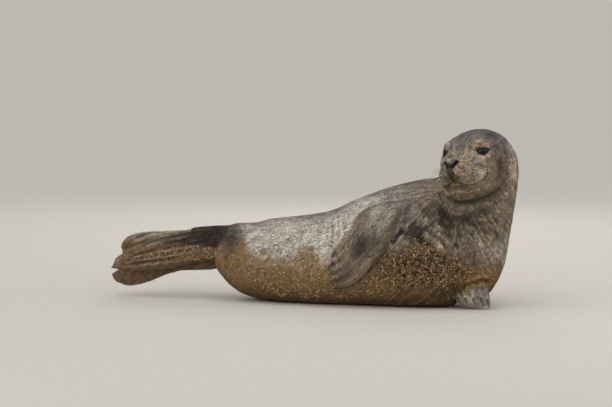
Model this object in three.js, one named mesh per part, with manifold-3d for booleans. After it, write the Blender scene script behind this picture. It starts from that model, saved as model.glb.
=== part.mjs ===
// A young grey seal at life size, in millimetres. It lies on its left side with its belly to -Y, its hind
// flippers to -X and its chest to +X, props itself on its left fore flipper, lifts its head over the chest
// and looks back to its right. +Z is up, and the ground is z = 0.
import * as THREE from "three";
import { mergeVertices } from "three/addons/utils/BufferGeometryUtils.js";
import Module from "manifold-3d";

const wasm = await Module();
wasm.setup();

// ---- Driving dimensions ----------------------------------------------------------------------------------

const GAP = 0.3; // clear width between two neighbouring pieces
const PRESS = 14; // height over which the underside rounds into the flat that it lies on
const DEGREE = Math.PI / 180;

// Sections of the trunk from the hips to the front of the chest, and of the neck from inside the chest to
// the crown: the centre, half the height across the bend and half the depth.
const TRUNK = {
  sections: [
    { at: [-264, 138, 154], high: 56, deep: 56 }, // root of the tail
    { at: [-222, 124, 138], high: 86, deep: 84 }, // hips
    { at: [-150, 104, 115], high: 115, deep: 116 }, // loins
    { at: [-36, 72, 113], high: 130, deep: 138 }, // belly
    { at: [76, 40, 121], high: 142, deep: 146 }, // ribs
    { at: [182, 4, 144], high: 166, deep: 150 }, // breast
    { at: [290, -36, 164], high: 184, deep: 146 }, // shoulders
    { at: [385, -56, 176], high: 180, deep: 128 }, // front of the chest
    { at: [462, -70, 180], high: 96, deep: 96 }, // inside the base of the neck
  ],
  rows: 27,
  columns: 26,
  startCap: 0.07, // share of the length over which each end rounds off
  endCap: 0.16,
};
const NECK = {
  sections: [
    { at: [348, -16, 30], high: 118, deep: 72 }, // under the chest
    { at: [372, -36, 92], high: 136, deep: 104 }, // point of the breast
    { at: [398, -56, 150], high: 141, deep: 124 }, // breastbone
    { at: [418, -64, 208], high: 133, deep: 124 }, // base of the neck
    { at: [438, -68, 268], high: 121, deep: 115 }, // lower throat
    { at: [455, -68, 330], high: 113, deep: 104 }, // upper throat
    { at: [467, -64, 380], high: 106, deep: 96 }, // nape
    { at: [468, -60, 420], high: 97, deep: 90 }, // back of the skull
    { at: [464, -58, 464], high: 82, deep: 76 }, // crown
  ],
  rows: 21,
  columns: 24,
  startCap: 0.12,
  endCap: 0.12,
};

// The head: its centre, and how it is turned from facing -Y.
const HEAD_AT = [475, -72, 408];
const HEAD_YAW = 36; // to its own right, towards -X
const HEAD_PITCH = 4; // nose up
const HEAD_ROLL = 6; // left side up
const HEAD_ROWS = 24;
const HEAD_COLUMNS = 29;
const HEAD_BLEND = 9; // how widely two forms of the head run into each other
const HEAD_STAR = [76, 0, -26]; // the point from which the whole face can be seen
const HEAD_FAR = 220; // no part of the head is further from that point

// Forms of the head as ellipsoids, in its own frame: forwards, to its left, up. "pair" gives one each side.
const HEAD_FORMS = [
  { at: [4, 0, 0], size: [93, 88, 86] }, // nape
  { at: [42, 0, 4], size: [82, 82, 78] }, // skull
  { at: [122, 0, -27], size: [52, 40, 29] }, // bridge and muzzle
  { at: [132, 24, -37], size: [32, 29, 27], pair: true }, // whisker pads
  { at: [166, 0, -6], size: [11, 20, 12] }, // nose
  { at: [106, 0, -84], size: [48, 42, 28] }, // chin
  { at: [66, 42, -48], size: [56, 44, 50], pair: true }, // cheeks
  { at: [82, 50, 2], size: [40, 32, 36], pair: true }, // cheekbones
  { at: [76, 42, 40], size: [30, 23, 17], pair: true }, // brows
];
const JAW_CUT = { at: [60, 0, -112], normal: [0.41, 0, 0.91] }; // parts the head from the neck, in its frame

const EYE = { at: [93, 54, 20], radius: 18.5, turn: 36, segments: 12 };
const HOLLOW = { out: 30, size: [20, 23, 16] }; // around each eye, from its middle out along its look

// Planes across the body, in the frame of the seal.
const HIPS_CUT = { at: [-150, 104, 115], normal: [1, -0.25, 0] };
const CHEST_CUT = { at: [205, 0, 140], normal: [1, -0.3, 0.1] };
const NECK_CUT = { at: [425, -70, 255], normal: [0.55, 0, 0.835] };
const SHOULDER_CUT = { at: [352, -80, 344], normal: [0.8, -0.5, 0.3] }; // what the head looks over

// Flippers are paddles between a leading and a trailing edge, each from root to tip. "reach" is how far each
// part of the width goes, as a share of the edges, from the trailing edge to the leading one. "thick" is the
// thickness from root to tip. "digits" are the places of the five digits across the width, from -1 at the
// trailing edge to 1 at the leading one, "spread" is how wide each of them swells, "wrist" where along the
// flipper they begin to show, and "notch" how far the web between two of them is cut back, both as shares of
// the length.
const FORE_RIGHT = {
  leading: [
    [256, -100, 300], [230, -100, 240], [208, -110, 184],
    [168, -108, 128], [112, -95, 68], [40, -85, 41],
  ],
  trailing: [
    [156, -60, 282], [129, -70, 265], [116, -90, 238],
    [94, -100, 211], [73, -105, 185], [38, -108, 132],
  ],
  reach: [0.93, 0.99, 1, 1, 0.97],
  thick: [34, 54, 42, 28, 22, 18],
  lift: 13, // of its middle off the flank that it lies on
  digits: [-0.86, -0.5, -0.12, 0.32, 0.82],
  spread: [0.15, 0.15, 0.16, 0.17, 0.2],
  wrist: 0.35,
  notch: 0.08,
};
const FORE_LEFT = {
  leading: [[466, -30, 92], [482, -84, 68], [490, -121, 34], [492, -150, 8]],
  trailing: [[412, -30, 94], [396, -80, 70], [389, -112, 40], [402, -142, 8]],
  reach: [0.94, 0.98, 1, 1, 0.98],
  thick: [72, 74, 54, 20],
  digits: [-0.84, -0.44, 0, 0.44, 0.84],
  spread: [0.17, 0.16, 0.16, 0.16, 0.16],
  wrist: 0.5,
  notch: 0.08,
};
const HIND_RIGHT = {
  leading: [
    [-210, 90, 204], [-292, 98, 206], [-372, 112, 190],
    [-450, 128, 173], [-522, 142, 143], [-576, 152, 108],
  ],
  trailing: [
    [-210, 90, 120], [-300, 96, 114], [-380, 108, 93],
    [-450, 122, 83], [-528, 140, 77], [-594, 150, 80],
  ],
  reach: [0.98, 0.99, 0.95, 0.94, 0.97],
  thick: [66, 52, 38, 31, 28, 24],
  digits: [-0.68, -0.3, 0.04, 0.36, 0.72],
  spread: [0.24, 0.12, 0.12, 0.12, 0.24],
  wrist: 0.15,
  notch: 0.05,
};
const HIND_LEFT = {
  leading: [
    [-215, 170, 200], [-300, 172, 200], [-394, 182, 189],
    [-470, 190, 188], [-526, 196, 175], [-560, 202, 146],
  ],
  trailing: [
    [-215, 160, 80], [-337, 166, 76], [-400, 172, 70],
    [-455, 176, 46], [-524, 184, 28], [-592, 188, 40],
  ],
  reach: [0.97, 1, 0.88, 0.93, 0.98],
  thick: [60, 50, 40, 36, 34, 30],
  digits: [-0.56, -0.16, 0.12, 0.4, 0.74],
  spread: [0.34, 0.1, 0.1, 0.12, 0.24],
  wrist: 0.15,
  notch: 0.06,
};
const PADDLE_ROWS = 8;
const DIGIT_COLUMNS = 4; // from the middle of one digit to the middle of the next
const PADDLE_EDGE = 1.5; // half the thickness of the thinnest edge

// Claws, one near the end of each digit: how far along the flipper, on which face of it (1 is the face that
// "out" points from), the length and the radius at the root, how far the tip bends back down, and how much
// of the length sinks into the digit.
const CLAWS = {
  fore_right: { along: 0.94, face: -1, length: 32, radius: 3.8, bend: 5, sink: 8 },
  fore_left: { along: 0.9, face: -1, length: 36, radius: 4.2, bend: 6, sink: 8 },
  hind_right: { along: 0.87, face: -1, length: 24, radius: 3.4, bend: 1, sink: 7 },
  hind_left: { along: 0.88, face: -1, length: 24, radius: 3.4, bend: 1, sink: 7 },
};
const CLAW_SIDES = 6;

// The tail: a short flat stub between the hind flippers.
const TAIL = { at: [-294, 131, 194], size: [58, 15, 11], turn: [0, 3, -8] };

// ---- Helpers ---------------------------------------------------------------------------------------------

const vector = (values) => new THREE.Vector3(...values);
const curve = (points) => new THREE.CatmullRomCurve3(points, false, "catmullrom");
const mix = THREE.MathUtils.lerp;
const { clamp } = THREE.MathUtils;

// The bell curve that every swelling, ridge and scallop follows.
const bell = (distance, spread) => Math.exp(-((distance / spread) ** 2));

// A three.js geometry as a solid that can be joined and cut, with its surface moved out by "grow".
function solid(geometry, grow = 0) {
  geometry.deleteAttribute("normal");
  geometry.deleteAttribute("uv");
  const merged = mergeVertices(geometry, 1e-3);
  if (grow > 0) {
    merged.computeVertexNormals();
    const normals = merged.attributes.normal;
    const places = merged.attributes.position;
    for (let i = 0; i < places.count; i++) {
      const out = new THREE.Vector3().fromBufferAttribute(normals, i).multiplyScalar(grow);
      const at = out.add(new THREE.Vector3().fromBufferAttribute(places, i));
      places.setXYZ(i, at.x, at.y, at.z);
    }
  }
  return new wasm.Manifold(
    new wasm.Mesh({
      numProp: 3,
      vertProperties: merged.attributes.position.array,
      triVerts: new Uint32Array(merged.index.array),
    }),
  );
}

// The largest body of a solid: a cut along a curved surface can leave crumbs beside it.
function largest(cut) {
  return cut.decompose().reduce((a, b) => (a.volume() > b.volume() ? a : b));
}

// A solid as a three.js geometry.
function geometryOf(shape) {
  const { numProp, numVert, vertProperties, triVerts } = shape.getMesh();
  const places = new Float32Array(numVert * 3);
  for (let i = 0; i < numVert; i++) {
    places.set(vertProperties.subarray(i * numProp, i * numProp + 3), i * 3);
  }
  return new THREE.BufferGeometry()
    .setAttribute("position", new THREE.BufferAttribute(places, 3))
    .setIndex(new THREE.BufferAttribute(triVerts, 1));
}

// Moves every vertex of a geometry to where "move" puts it.
function reshape(geometry, move) {
  const places = geometry.attributes.position;
  const point = new THREE.Vector3();
  for (let i = 0; i < places.count; i++) {
    const to = move(point.fromBufferAttribute(places, i));
    places.setXYZ(i, to.x, to.y, to.z);
  }
  return geometry;
}

// Everything that lies beyond a plane, on the side its normal points to, as a block that starts "clear" of
// the plane. "side" -1 takes the other side.
function beyond({ at, normal }, { side = 1, clear = GAP / 2, frame = new THREE.Matrix4() } = {}) {
  const reach = 3000;
  const block = new THREE.BoxGeometry(reach, reach, reach);
  const towards = vector(normal).multiplyScalar(side).transformDirection(frame);
  block.applyQuaternion(new THREE.Quaternion().setFromUnitVectors(new THREE.Vector3(0, 0, 1), towards));
  const centre = vector(at).applyMatrix4(frame).addScaledVector(towards, reach / 2 + clear);
  return solid(block.translate(centre.x, centre.y, centre.z));
}

// Height after the soft underside has settled on the ground: flat below -PRESS, unchanged above PRESS.
function settled(z) {
  if (z <= -PRESS) return 0;
  return z >= PRESS ? z : (z + PRESS) ** 2 / (4 * PRESS);
}

// Row and angle of a point of a unit sphere whose poles are at +Y, row 0, and -Y, row 1.
function rowAndAngle(p) {
  return { row: Math.acos(clamp(p.y, -1, 1)) / Math.PI, around: Math.atan2(p.z, p.x) };
}

// ---- Trunk and neck --------------------------------------------------------------------------------------

const roundedEnd = (share, cap) => (share >= cap ? 1 : Math.sqrt(1 - (1 - share / cap) ** 2));

// A round body drawn over its sections, each square to the line through their centres.
function tube({ sections, rows, columns, startCap, endCap }, grow = 0) {
  const spine = curve(sections.map((s) => vector(s.at)));
  const girth = curve(sections.map((s) => new THREE.Vector3(s.high, s.deep, 0)));
  const ball = new THREE.SphereGeometry(1, columns, rows);
  reshape(ball, (p) => {
    const { row, around } = rowAndAngle(p);
    const share = row - Math.sin(2 * Math.PI * row) / (4 * Math.PI); // rows lie closer at the ends
    const along = spine.getTangent(share);
    const deep = new THREE.Vector3(0, 1, 0);
    deep.addScaledVector(along, -deep.dot(along)).normalize();
    const up = new THREE.Vector3().crossVectors(along, deep);
    const { x: high, y: wide } = girth.getPoint(share);
    const cap = roundedEnd(share, startCap) * roundedEnd(1 - share, endCap);
    const place = spine.getPoint(share);
    place.addScaledVector(up, Math.sin(around) * high * cap);
    place.addScaledVector(deep, Math.cos(around) * wide * cap);
    place.z = settled(place.z);
    return place;
  });
  return solid(ball, grow);
}

// ---- Head ------------------------------------------------------------------------------------------------

const headFrame = new THREE.Matrix4()
  .makeRotationZ(-(90 + HEAD_YAW) * DEGREE)
  .multiply(new THREE.Matrix4().makeRotationY(-HEAD_PITCH * DEGREE))
  .multiply(new THREE.Matrix4().makeRotationX(HEAD_ROLL * DEGREE))
  .setPosition(...HEAD_AT);

const headForms = HEAD_FORMS.flatMap(({ at: [forwards, left, up], size, pair }) =>
  (pair ? [left, -left] : [left]).map((side) => ({ at: vector([forwards, side, up]), size: vector(size) })),
);

// How far a point lies outside the blended forms of the head, about 0 on its surface.
function outsideHead(point) {
  let sum = 0;
  for (const { at, size } of headForms) {
    const from = point.clone().sub(at).divide(size);
    const steepness = from.clone().divide(size).length();
    const distance = (from.length() * (from.length() - 1)) / Math.max(steepness, 1e-6);
    sum += Math.exp(-distance / HEAD_BLEND);
  }
  return -Math.log(sum) * HEAD_BLEND;
}

// Distance from the star point to the surface of the head, in one direction.
function headReach(direction) {
  const at = (reach) => outsideHead(vector(HEAD_STAR).addScaledVector(direction, reach));
  const step = 3;
  let outer = HEAD_FAR;
  while (at(outer - step) > 0) outer -= step;
  let inner = outer - step;
  for (let i = 0; i < 12; i++) {
    const middle = (inner + outer) / 2;
    if (at(middle) > 0) outer = middle;
    else inner = middle;
  }
  return inner;
}

function head(grow = 0) {
  const ball = new THREE.SphereGeometry(1, HEAD_COLUMNS, HEAD_ROWS);
  reshape(ball, (p) => {
    const { row, around } = rowAndAngle(p);
    const off = Math.PI * row ** 1.3; // rows lie closer together towards the nose
    const direction = new THREE.Vector3(
      Math.cos(off),
      Math.sin(off) * Math.cos(around),
      -Math.sin(off) * Math.sin(around),
    );
    return vector(HEAD_STAR).addScaledVector(direction, headReach(direction)).applyMatrix4(headFrame);
  });
  return solid(ball, grow);
}

// ---- Flippers --------------------------------------------------------------------------------------------

// The shape of a flipper as functions of the place across it, from -1 at the trailing edge to 1 at the
// leading one, and along it, from 0 at the root to 1 at the tip.
function paddleShape({ leading, trailing, reach, thick, lift, digits, spread, wrist, notch }, flank) {
  const front = curve(leading.map(vector));
  const back = curve(trailing.map(vector));
  const ends = curve(reach.map((share) => new THREE.Vector3(share, 0, 0)));
  const depth = curve(thick.map((t) => new THREE.Vector3(t, 0, 0)));
  const ridge = (across) => Math.max(...digits.map((d, i) => bell(across - d, spread[i])));
  const middle = (across, along) => {
    const share = clamp((across + 1) / 2, 0, 1);
    const end = ends.getPoint(share).x - notch * (1 - ridge(across)) * along ** 4;
    const place = back.getPoint(along * end).lerp(front.getPoint(along * end), share);
    if (lift !== undefined) place.y = flank(place.x, place.z) - lift;
    return place;
  };
  const onwards = (across, along) =>
    middle(across, Math.min(along + 0.03, 1)).sub(middle(across, Math.max(along - 0.03, 0))).normalize();
  const out = (across, along) => {
    const sideways = middle(Math.min(across + 0.06, 1), along);
    sideways.sub(middle(Math.max(across - 0.06, -1), along));
    return sideways.cross(onwards(across, along)).normalize();
  };
  const half = (across, along) => {
    const edge = Math.sqrt(Math.max(1 - across ** 2, 0));
    const tip = Math.sqrt(Math.max(1 - along ** 8, 0));
    const web = mix(1, mix(0.4, 1.1, ridge(across)), clamp((along - wrist) * 3, 0, 1));
    return Math.max((depth.getPoint(along).x / 2) * edge * tip * web, PADDLE_EDGE);
  };
  return { middle, onwards, out, half, digits };
}

function paddle(shape, grow = 0) {
  // The columns run along the middle of each digit and of each web, with even steps between them, and half
  // as many outside the first digit and the last.
  const { digits } = shape;
  const columns = digits.length * DIGIT_COLUMNS;
  const box = new THREE.BoxGeometry(columns, 1, 1, columns, PADDLE_ROWS, 1);
  reshape(box, (p) => {
    const place = (p.x + columns / 2) / DIGIT_COLUMNS - 0.5; // 0 at the first digit, 1 at the next
    const before = clamp(Math.floor(place), 0, digits.length - 2);
    let across = mix(digits[before], digits[before + 1], place - before);
    if (place < 0) across = mix(digits[0], -1, -place * 2);
    if (place > digits.length - 1) across = mix(digits.at(-1), 1, (place - digits.length + 1) * 2);
    const along = 1 - (1 - clamp(p.y + 0.5, 0, 1)) ** 1.5; // rows lie closer at the tip
    const rise = Math.sign(p.z) * shape.half(across, along);
    const to = shape.middle(across, along).addScaledVector(shape.out(across, along), rise);
    to.z = Math.max(to.z, 0);
    return to;
  });
  return solid(box, grow);
}

// A claw on the digit at "across": a cone along the digit that bends down towards its tip.
function claw(shape, across, { along, face, length, radius, bend, sink }) {
  const onwards = shape.onwards(across, along);
  const up = shape.out(across, along).multiplyScalar(face);
  const aside = new THREE.Vector3().crossVectors(onwards, up);
  const root = shape.middle(across, along).addScaledVector(up, shape.half(across, along) + radius * 0.2);
  const cone = new THREE.ConeGeometry(radius, length, CLAW_SIDES, 3);
  reshape(cone, (p) => {
    const forwards = p.y + length / 2;
    const sag = bend * (forwards / length) ** 2;
    const place = root.clone().addScaledVector(onwards, forwards - sink);
    place.addScaledVector(aside, p.x).addScaledVector(up, p.z - sag);
    place.z = Math.max(place.z, 0);
    return place;
  });
  return cone;
}

// ---- Assembly --------------------------------------------------------------------------------------------

const seal = new THREE.Group();
const COAT = "#8f8577";
const WET_COAT = "#5f5a55";
const CLAW = "#3a332e";
const EYE_COLOUR = "#0c0a0a";

function addPart(name, shape, colour, roughness = 0.9) {
  const material = new THREE.MeshStandardMaterial({ color: colour, roughness, metalness: 0 });
  const mesh = new THREE.Mesh(geometryOf(shape), material);
  mesh.name = name;
  seal.add(mesh);
}

const trunkAndNeck = tube(TRUNK).add(tube(NECK));
const whole = trunkAndNeck.add(head());
const wholeGrown = tube(TRUNK, GAP).add(tube(NECK, GAP)).add(head(GAP));

// Eyes, and the sockets that clear them.
function eyeball(side, grow = 0) {
  const place = vector([EYE.at[0], side * EYE.at[1], EYE.at[2]]).applyMatrix4(headFrame);
  const ball = new THREE.SphereGeometry(EYE.radius + grow, EYE.segments, EYE.segments - 4);
  return solid(ball.translate(place.x, place.y, place.z));
}
function socket(side) {
  const hollow = new THREE.SphereGeometry(1, 10, 6).scale(...HOLLOW.size).translate(HOLLOW.out, 0, 0);
  hollow.rotateZ(side * EYE.turn * DEGREE).translate(EYE.at[0], side * EYE.at[1], EYE.at[2]);
  return eyeball(side, GAP * 1.1).add(solid(hollow.applyMatrix4(headFrame)));
}
const sockets = socket(-1).add(socket(1));

// The body, parted by thin planes.
const aboveNeck = beyond(NECK_CUT).intersect(beyond(SHOULDER_CUT));
const belowNeck = beyond(NECK_CUT, { clear: -GAP / 2 }).intersect(beyond(SHOULDER_CUT, { clear: -GAP / 2 }));
const upper = whole.intersect(aboveNeck);
const lower = whole.subtract(belowNeck);
const rear = lower.intersect(beyond(CHEST_CUT, { side: -1 }));
addPart("head", largest(upper.intersect(beyond(JAW_CUT, { frame: headFrame })).subtract(sockets)), COAT);
addPart("neck", largest(upper.intersect(beyond(JAW_CUT, { side: -1, frame: headFrame }))), COAT);
addPart("chest", largest(lower.intersect(beyond(CHEST_CUT))), COAT);
addPart("trunk", largest(rear.intersect(beyond(HIPS_CUT))), COAT);
addPart("pelvis", largest(rear.intersect(beyond(HIPS_CUT, { side: -1 }))), COAT);
addPart("eye_right", eyeball(-1), EYE_COLOUR, 0.1);
addPart("eye_left", eyeball(1), EYE_COLOUR, 0.1);

// Where a ray towards +Y meets the flank, for what lies on it.
const flankMesh = new THREE.Mesh(geometryOf(trunkAndNeck));
const raycaster = new THREE.Raycaster();
function flank(x, z) {
  raycaster.set(new THREE.Vector3(x, -1000, z), new THREE.Vector3(0, 1, 0));
  return raycaster.intersectObject(flankMesh)[0].point.y;
}

// Flippers, each clear of the body and of the one before, with their claws.
let taken = wholeGrown;
const FLIPPERS = {
  fore_right: FORE_RIGHT,
  fore_left: FORE_LEFT,
  hind_right: HIND_RIGHT,
  hind_left: HIND_LEFT,
};
for (const [place, sizes] of Object.entries(FLIPPERS)) {
  const shape = paddleShape(sizes, flank);
  const [end, side] = place.split("_");
  addPart(`${end}_flipper_${side}`, largest(paddle(shape).subtract(taken)), WET_COAT);
  taken = taken.add(paddle(shape, 2 * GAP));
  sizes.digits.forEach((across, i) => {
    const horn = solid(claw(shape, across, CLAWS[place]));
    addPart(`claw_${end}_${side}_${i + 1}`, largest(horn.subtract(taken)), CLAW, 0.4);
  });
}

const stub = new THREE.SphereGeometry(1, 10, 8).scale(...TAIL.size);
const tailTurn = new THREE.Euler(...TAIL.turn.map((t) => t * DEGREE));
stub.applyQuaternion(new THREE.Quaternion().setFromEuler(tailTurn));
addPart("tail", largest(solid(stub.translate(...TAIL.at)).subtract(taken)), WET_COAT);

// The group's origin is the middle of its footprint, on the ground.
const box = new THREE.Box3().setFromObject(seal);
const middle = box.getCenter(new THREE.Vector3());
for (const mesh of seal.children) mesh.geometry.translate(-middle.x, -middle.y, -box.min.z);

export default seal;
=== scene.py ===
"""A young grey seal at life size, dressed for a museum: one skin over the body, short fur, eyes, whiskers and
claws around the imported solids. It is laid out as an add-on and run as a script."""

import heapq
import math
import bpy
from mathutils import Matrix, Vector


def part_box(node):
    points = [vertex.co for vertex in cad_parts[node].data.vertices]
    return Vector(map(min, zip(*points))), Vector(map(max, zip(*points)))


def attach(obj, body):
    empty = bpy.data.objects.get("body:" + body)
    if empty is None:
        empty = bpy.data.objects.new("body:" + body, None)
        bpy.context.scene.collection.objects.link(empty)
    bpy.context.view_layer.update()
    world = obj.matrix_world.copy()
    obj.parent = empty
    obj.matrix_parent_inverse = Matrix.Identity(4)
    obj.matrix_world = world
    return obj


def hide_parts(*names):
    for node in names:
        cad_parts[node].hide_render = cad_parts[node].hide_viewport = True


bl_info = {
    "name": "Grey Seal Model",
    "version": (1, 0, 0),
    "blender": (4, 5, 0),
    "location": "View3D > Sidebar > Seal",
    "description": "Skin, coat, eyes, whiskers and claws of a life-size young grey seal",
    "category": "Object",
}

import bmesh
import bpy
import numpy as np
from bpy.props import FloatProperty, FloatVectorProperty, IntProperty, PointerProperty
from mathutils import Euler, Matrix, Vector, noise
from mathutils.bvhtree import BVHTree

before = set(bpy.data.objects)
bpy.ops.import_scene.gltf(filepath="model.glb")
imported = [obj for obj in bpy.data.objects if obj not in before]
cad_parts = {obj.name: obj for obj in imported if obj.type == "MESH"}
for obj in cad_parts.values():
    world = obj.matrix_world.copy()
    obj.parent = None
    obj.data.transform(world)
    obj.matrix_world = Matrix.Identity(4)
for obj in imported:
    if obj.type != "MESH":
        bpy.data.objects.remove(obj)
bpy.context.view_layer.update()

MM = 0.001
ROOT = "root"

# ---- The head's own frame: forwards, to its left, up, in millimetres --------------------------------------

HEAD_TURN = (6, -4, -126)  # roll, pitch and yaw of the head, in degrees
EYE_FORWARD = 93
EYE_ASIDE = 54
EYE_UP = 20
EYE_LOOK = 36  # degrees that each eye is turned outwards
EYE_RADIUS = 18.5

head_turn = np.array(Euler([math.radians(a) for a in HEAD_TURN], "XYZ").to_matrix())
eye_middles = [sum(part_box(eye), Vector()) / 2 for eye in ("eye_left", "eye_right")]
between_eyes = np.array((eye_middles[0] + eye_middles[1]) / 2) / MM
head_at = between_eyes - head_turn @ np.array((EYE_FORWARD, 0, EYE_UP))


def from_head(points):
    """Points of the head's frame as points of the part's frame, both in millimetres."""
    return np.atleast_2d(points) @ head_turn.T + head_at


def to_head(points):
    """Points of the part's frame as points of the head's frame, both in millimetres."""
    return (np.atleast_2d(points) - head_at) @ head_turn


# ---- Features, in millimetres -----------------------------------------------------------------------------

# The opening of the lids, as angles round the eyeball from the middle of its look.
LIDS = {"middle": (3, 13), "half_width": 56, "above": 22, "below": 38, "fullness": 0.75}
LID_THICK = 1.6
LID_FADE = 24  # degrees over which a lid runs out into the face

# Paths over the face, in the head's frame. Each is laid on the skin before it is used.
MOUTH = [(157, -2, -62), (156, 15, -64), (147, 28, -69), (135, 39, -71), (126, 47, -69), (119, 57, -64),
         (111, 69, -57), (106, 75, -45), (104, 77, -34), (106, 76, -22)]
LIP_CREASE = [(154, -4, -86), (148, 21, -86), (129, 39, -85), (114, 53, -80), (104, 68, -70), (98, 76, -58)]
UNDER_CHIN = [(111, -64, -84), (116, -48, -99), (118, -23, -114), (110, 2, -118), (95, 25, -114),
              (82, 40, -110), (67, 54, -101), (60, 71, -84)]
NOSTRIL = [(170, 22, -4), (176, 16, -10), (179, 9, -19)]
LIP_CLEFT = [(180, 0, -22), (172, 0, -44), (160, 0, -60)]
EAR = [(29, 87, 19), (23, 88, 12)]
CHEEK_CREASE = [(30, 76, 48), (20, 86, 30), (22, 89, 10), (29, 89, -8), (41, 88, -28), (58, 87, -48)]
TEAR_LINE = [(119, 48, 30), (126, 38, 26), (134, 30, 18)]

# Grooves: path, width, depth, how bare the skin is in it, and whether the other side has one too.
HEAD_GROOVES = [
    (MOUTH, 3, 5.5, 0.55, True),
    (LIP_CREASE, 3.6, 2.4, 0, True),
    (UNDER_CHIN, 9, 4.2, 0, False),
    (NOSTRIL, 6.4, 10, 1, True),
    (LIP_CLEFT, 3, 2.2, 0.4, False),
    (EAR, 3, 4, 0.8, True),
    (CHEEK_CREASE, 5, 2.4, 0, True),
    (TEAR_LINE, 3, 1.6, 0, True),
]

# Swellings of the face, in its frame: middle, radius, height, and whether the other side has one too.
HEAD_SWELLINGS = [
    ((99, 62, 47), 13, 2.6, True),  # brow
    ((115, 62, 0), 11, 1.8, True),  # bag under the eye
    ((104, 36, 30), 12, -2.5, True),  # hollow between the eye and the bridge
    ((122, 0, 26), 17, -2.5, False),  # stop
    ((168, 14, 6), 9, 3, True),  # rim over the nostril
    ((182, 0, -8), 7, 1.5, False),  # wall between the nostrils
    ((150, 40, -44), 18, 4.5, True),  # whisker pad
    ((128, 58, -44), 14, 3, True),  # back of the pad
    ((118, 68, -12), 12, -3, True),  # hollow behind the pad
    ((150, 14, -74), 10, -2.5, True),  # lower lip
    ((134, 12, -100), 15, 2.5, True),  # chin
    ((84, 80, -44), 18, 2, True),  # cheek
    ((46, 84, 20), 14, -1.5, True),  # temple
]

# Folds of the skin on the belly's side, as paths seen from -Y (X, Z): width and depth. A negative depth is a
# swelling beside a fold.
NEAR_FOLDS = [
    ([(322, 244), (350, 226), (384, 204), (410, 170)], 9, 6),  # breast, upper
    ([(336, 240), (368, 214), (398, 186)], 10, -4),
    ([(312, 234), (346, 206), (382, 168)], 8, 3.6),  # breast, lower
    ([(306, 222), (350, 192), (390, 152)], 11, -3.4),
    ([(290, 214), (326, 180), (366, 142)], 9, 2.6),
    ([(262, 232), (240, 206), (222, 180)], 12, 7),  # armpit
    ([(276, 136), (290, 142), (304, 134), (300, 124), (284, 122), (276, 132)], 6, 4),  # dimple
    ([(262, 114), (280, 106), (300, 103), (322, 112)], 6, 3.4),
    ([(268, 98), (294, 92), (320, 98)], 8, -2),
    ([(414, 56), (436, 70), (466, 78), (500, 78)], 8, 6),  # over the left flipper
    ([(424, 76), (456, 92), (500, 94)], 9, -3),
    ([(6, 224), (2, 198), (-2, 176)], 6, 1),  # flank
    ([(26, 230), (28, 206), (22, 172)], 6, 1.3),
    ([(50, 226), (46, 196), (40, 170)], 5, 1.5),
    ([(62, 236), (64, 204), (56, 178)], 6, 1.9),
    ([(78, 232), (82, 212), (76, 190)], 5, 1.2),
    ([(94, 246), (96, 228), (92, 208)], 6, 2),
    ([(70, 250), (72, 222), (66, 186)], 6, -1.2),
    ([(-26, 220), (-30, 190), (-24, 160)], 7, 1),
    ([(-206, 190), (-218, 150), (-210, 112)], 13, 3.5),  # groin
    ([(356, 286), (372, 264), (396, 248)], 12, 3.6),  # under the throat
    ([(396, 262), (440, 246), (486, 252), (520, 268)], 12, 2.4),
    ([(404, 226), (446, 214), (500, 220)], 14, 2),
    ([(390, 96), (420, 118), (450, 126), (490, 122)], 16, 2.2),
]
FAR_FOLDS = [
    ([(360, 330), (400, 318), (450, 322), (510, 340)], 12, 6),  # nape
    ([(350, 296), (400, 280), (470, 284), (530, 300)], 14, 5),
    ([(380, 262), (440, 250), (500, 258)], 14, 3),
    ([(210, 280), (200, 200), (190, 120)], 14, 3),
    ([(60, 250), (52, 180), (50, 110)], 12, 2),
    ([(10, 240), (4, 180), (2, 110)], 12, 1.6),
    ([(-210, 210), (-216, 160), (-206, 110)], 12, 4),
]
# Furrows between the digits of the right fore flipper and of the right hind flipper.
FORE_FOLDS = [
    ([(58, 140), (76, 157), (96, 176)], 4, 3.4),
    ([(53, 112), (70, 127), (88, 141)], 4, 3.4),
    ([(60, 91), (74, 102), (88, 114)], 4, 3),
    ([(68, 73), (80, 82), (94, 93)], 4, 2.6),
]
HIND_FOLDS = [
    ([(-530, 138), (-504, 165), (-455, 185), (-400, 195)], 5, 3),
    ([(-506, 139), (-459, 159), (-392, 181), (-330, 194)], 5, 3),
    ([(-516, 118), (-459, 138), (-400, 159), (-330, 174)], 5, 3),
    ([(-529, 96), (-470, 106), (-412, 116), (-337, 114)], 5, 3),
]

# ---- Small helpers ----------------------------------------------------------------------------------------


def linear(hex_colour):
    """An sRGB hex colour as linear values."""
    parts = [int(hex_colour[i : i + 2], 16) / 255 for i in (1, 3, 5)]
    return tuple(c / 12.92 if c <= 0.04045 else ((c + 0.055) / 1.055) ** 2.4 for c in parts)


def smooth(low, high, values):
    """0 below low, 1 above high and a smooth rise between them."""
    share = np.clip((values - low) / (high - low), 0, 1)
    return share * share * (3 - 2 * share)


def points_of(mesh):
    """A mesh's vertices, in millimetres."""
    values = np.empty(len(mesh.vertices) * 3, np.float32)
    mesh.vertices.foreach_get("co", values)
    return values.reshape(-1, 3).astype(float) / MM


def place_points(mesh, points):
    """Moves a mesh's vertices to points given in millimetres."""
    mesh.vertices.foreach_set("co", (points * MM).astype(np.float32).ravel())
    mesh.update()


def normals_of(mesh):
    """A mesh's normals at its vertices."""
    values = np.empty(len(mesh.vertices) * 3, np.float32)
    mesh.vertex_normals.foreach_get("vector", values)
    return values.reshape(-1, 3).astype(float)


def edges_of(mesh):
    """The two ends of each edge."""
    values = np.empty(len(mesh.edges) * 2, np.int32)
    mesh.edges.foreach_get("vertices", values)
    return values.reshape(-1, 2)


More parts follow.
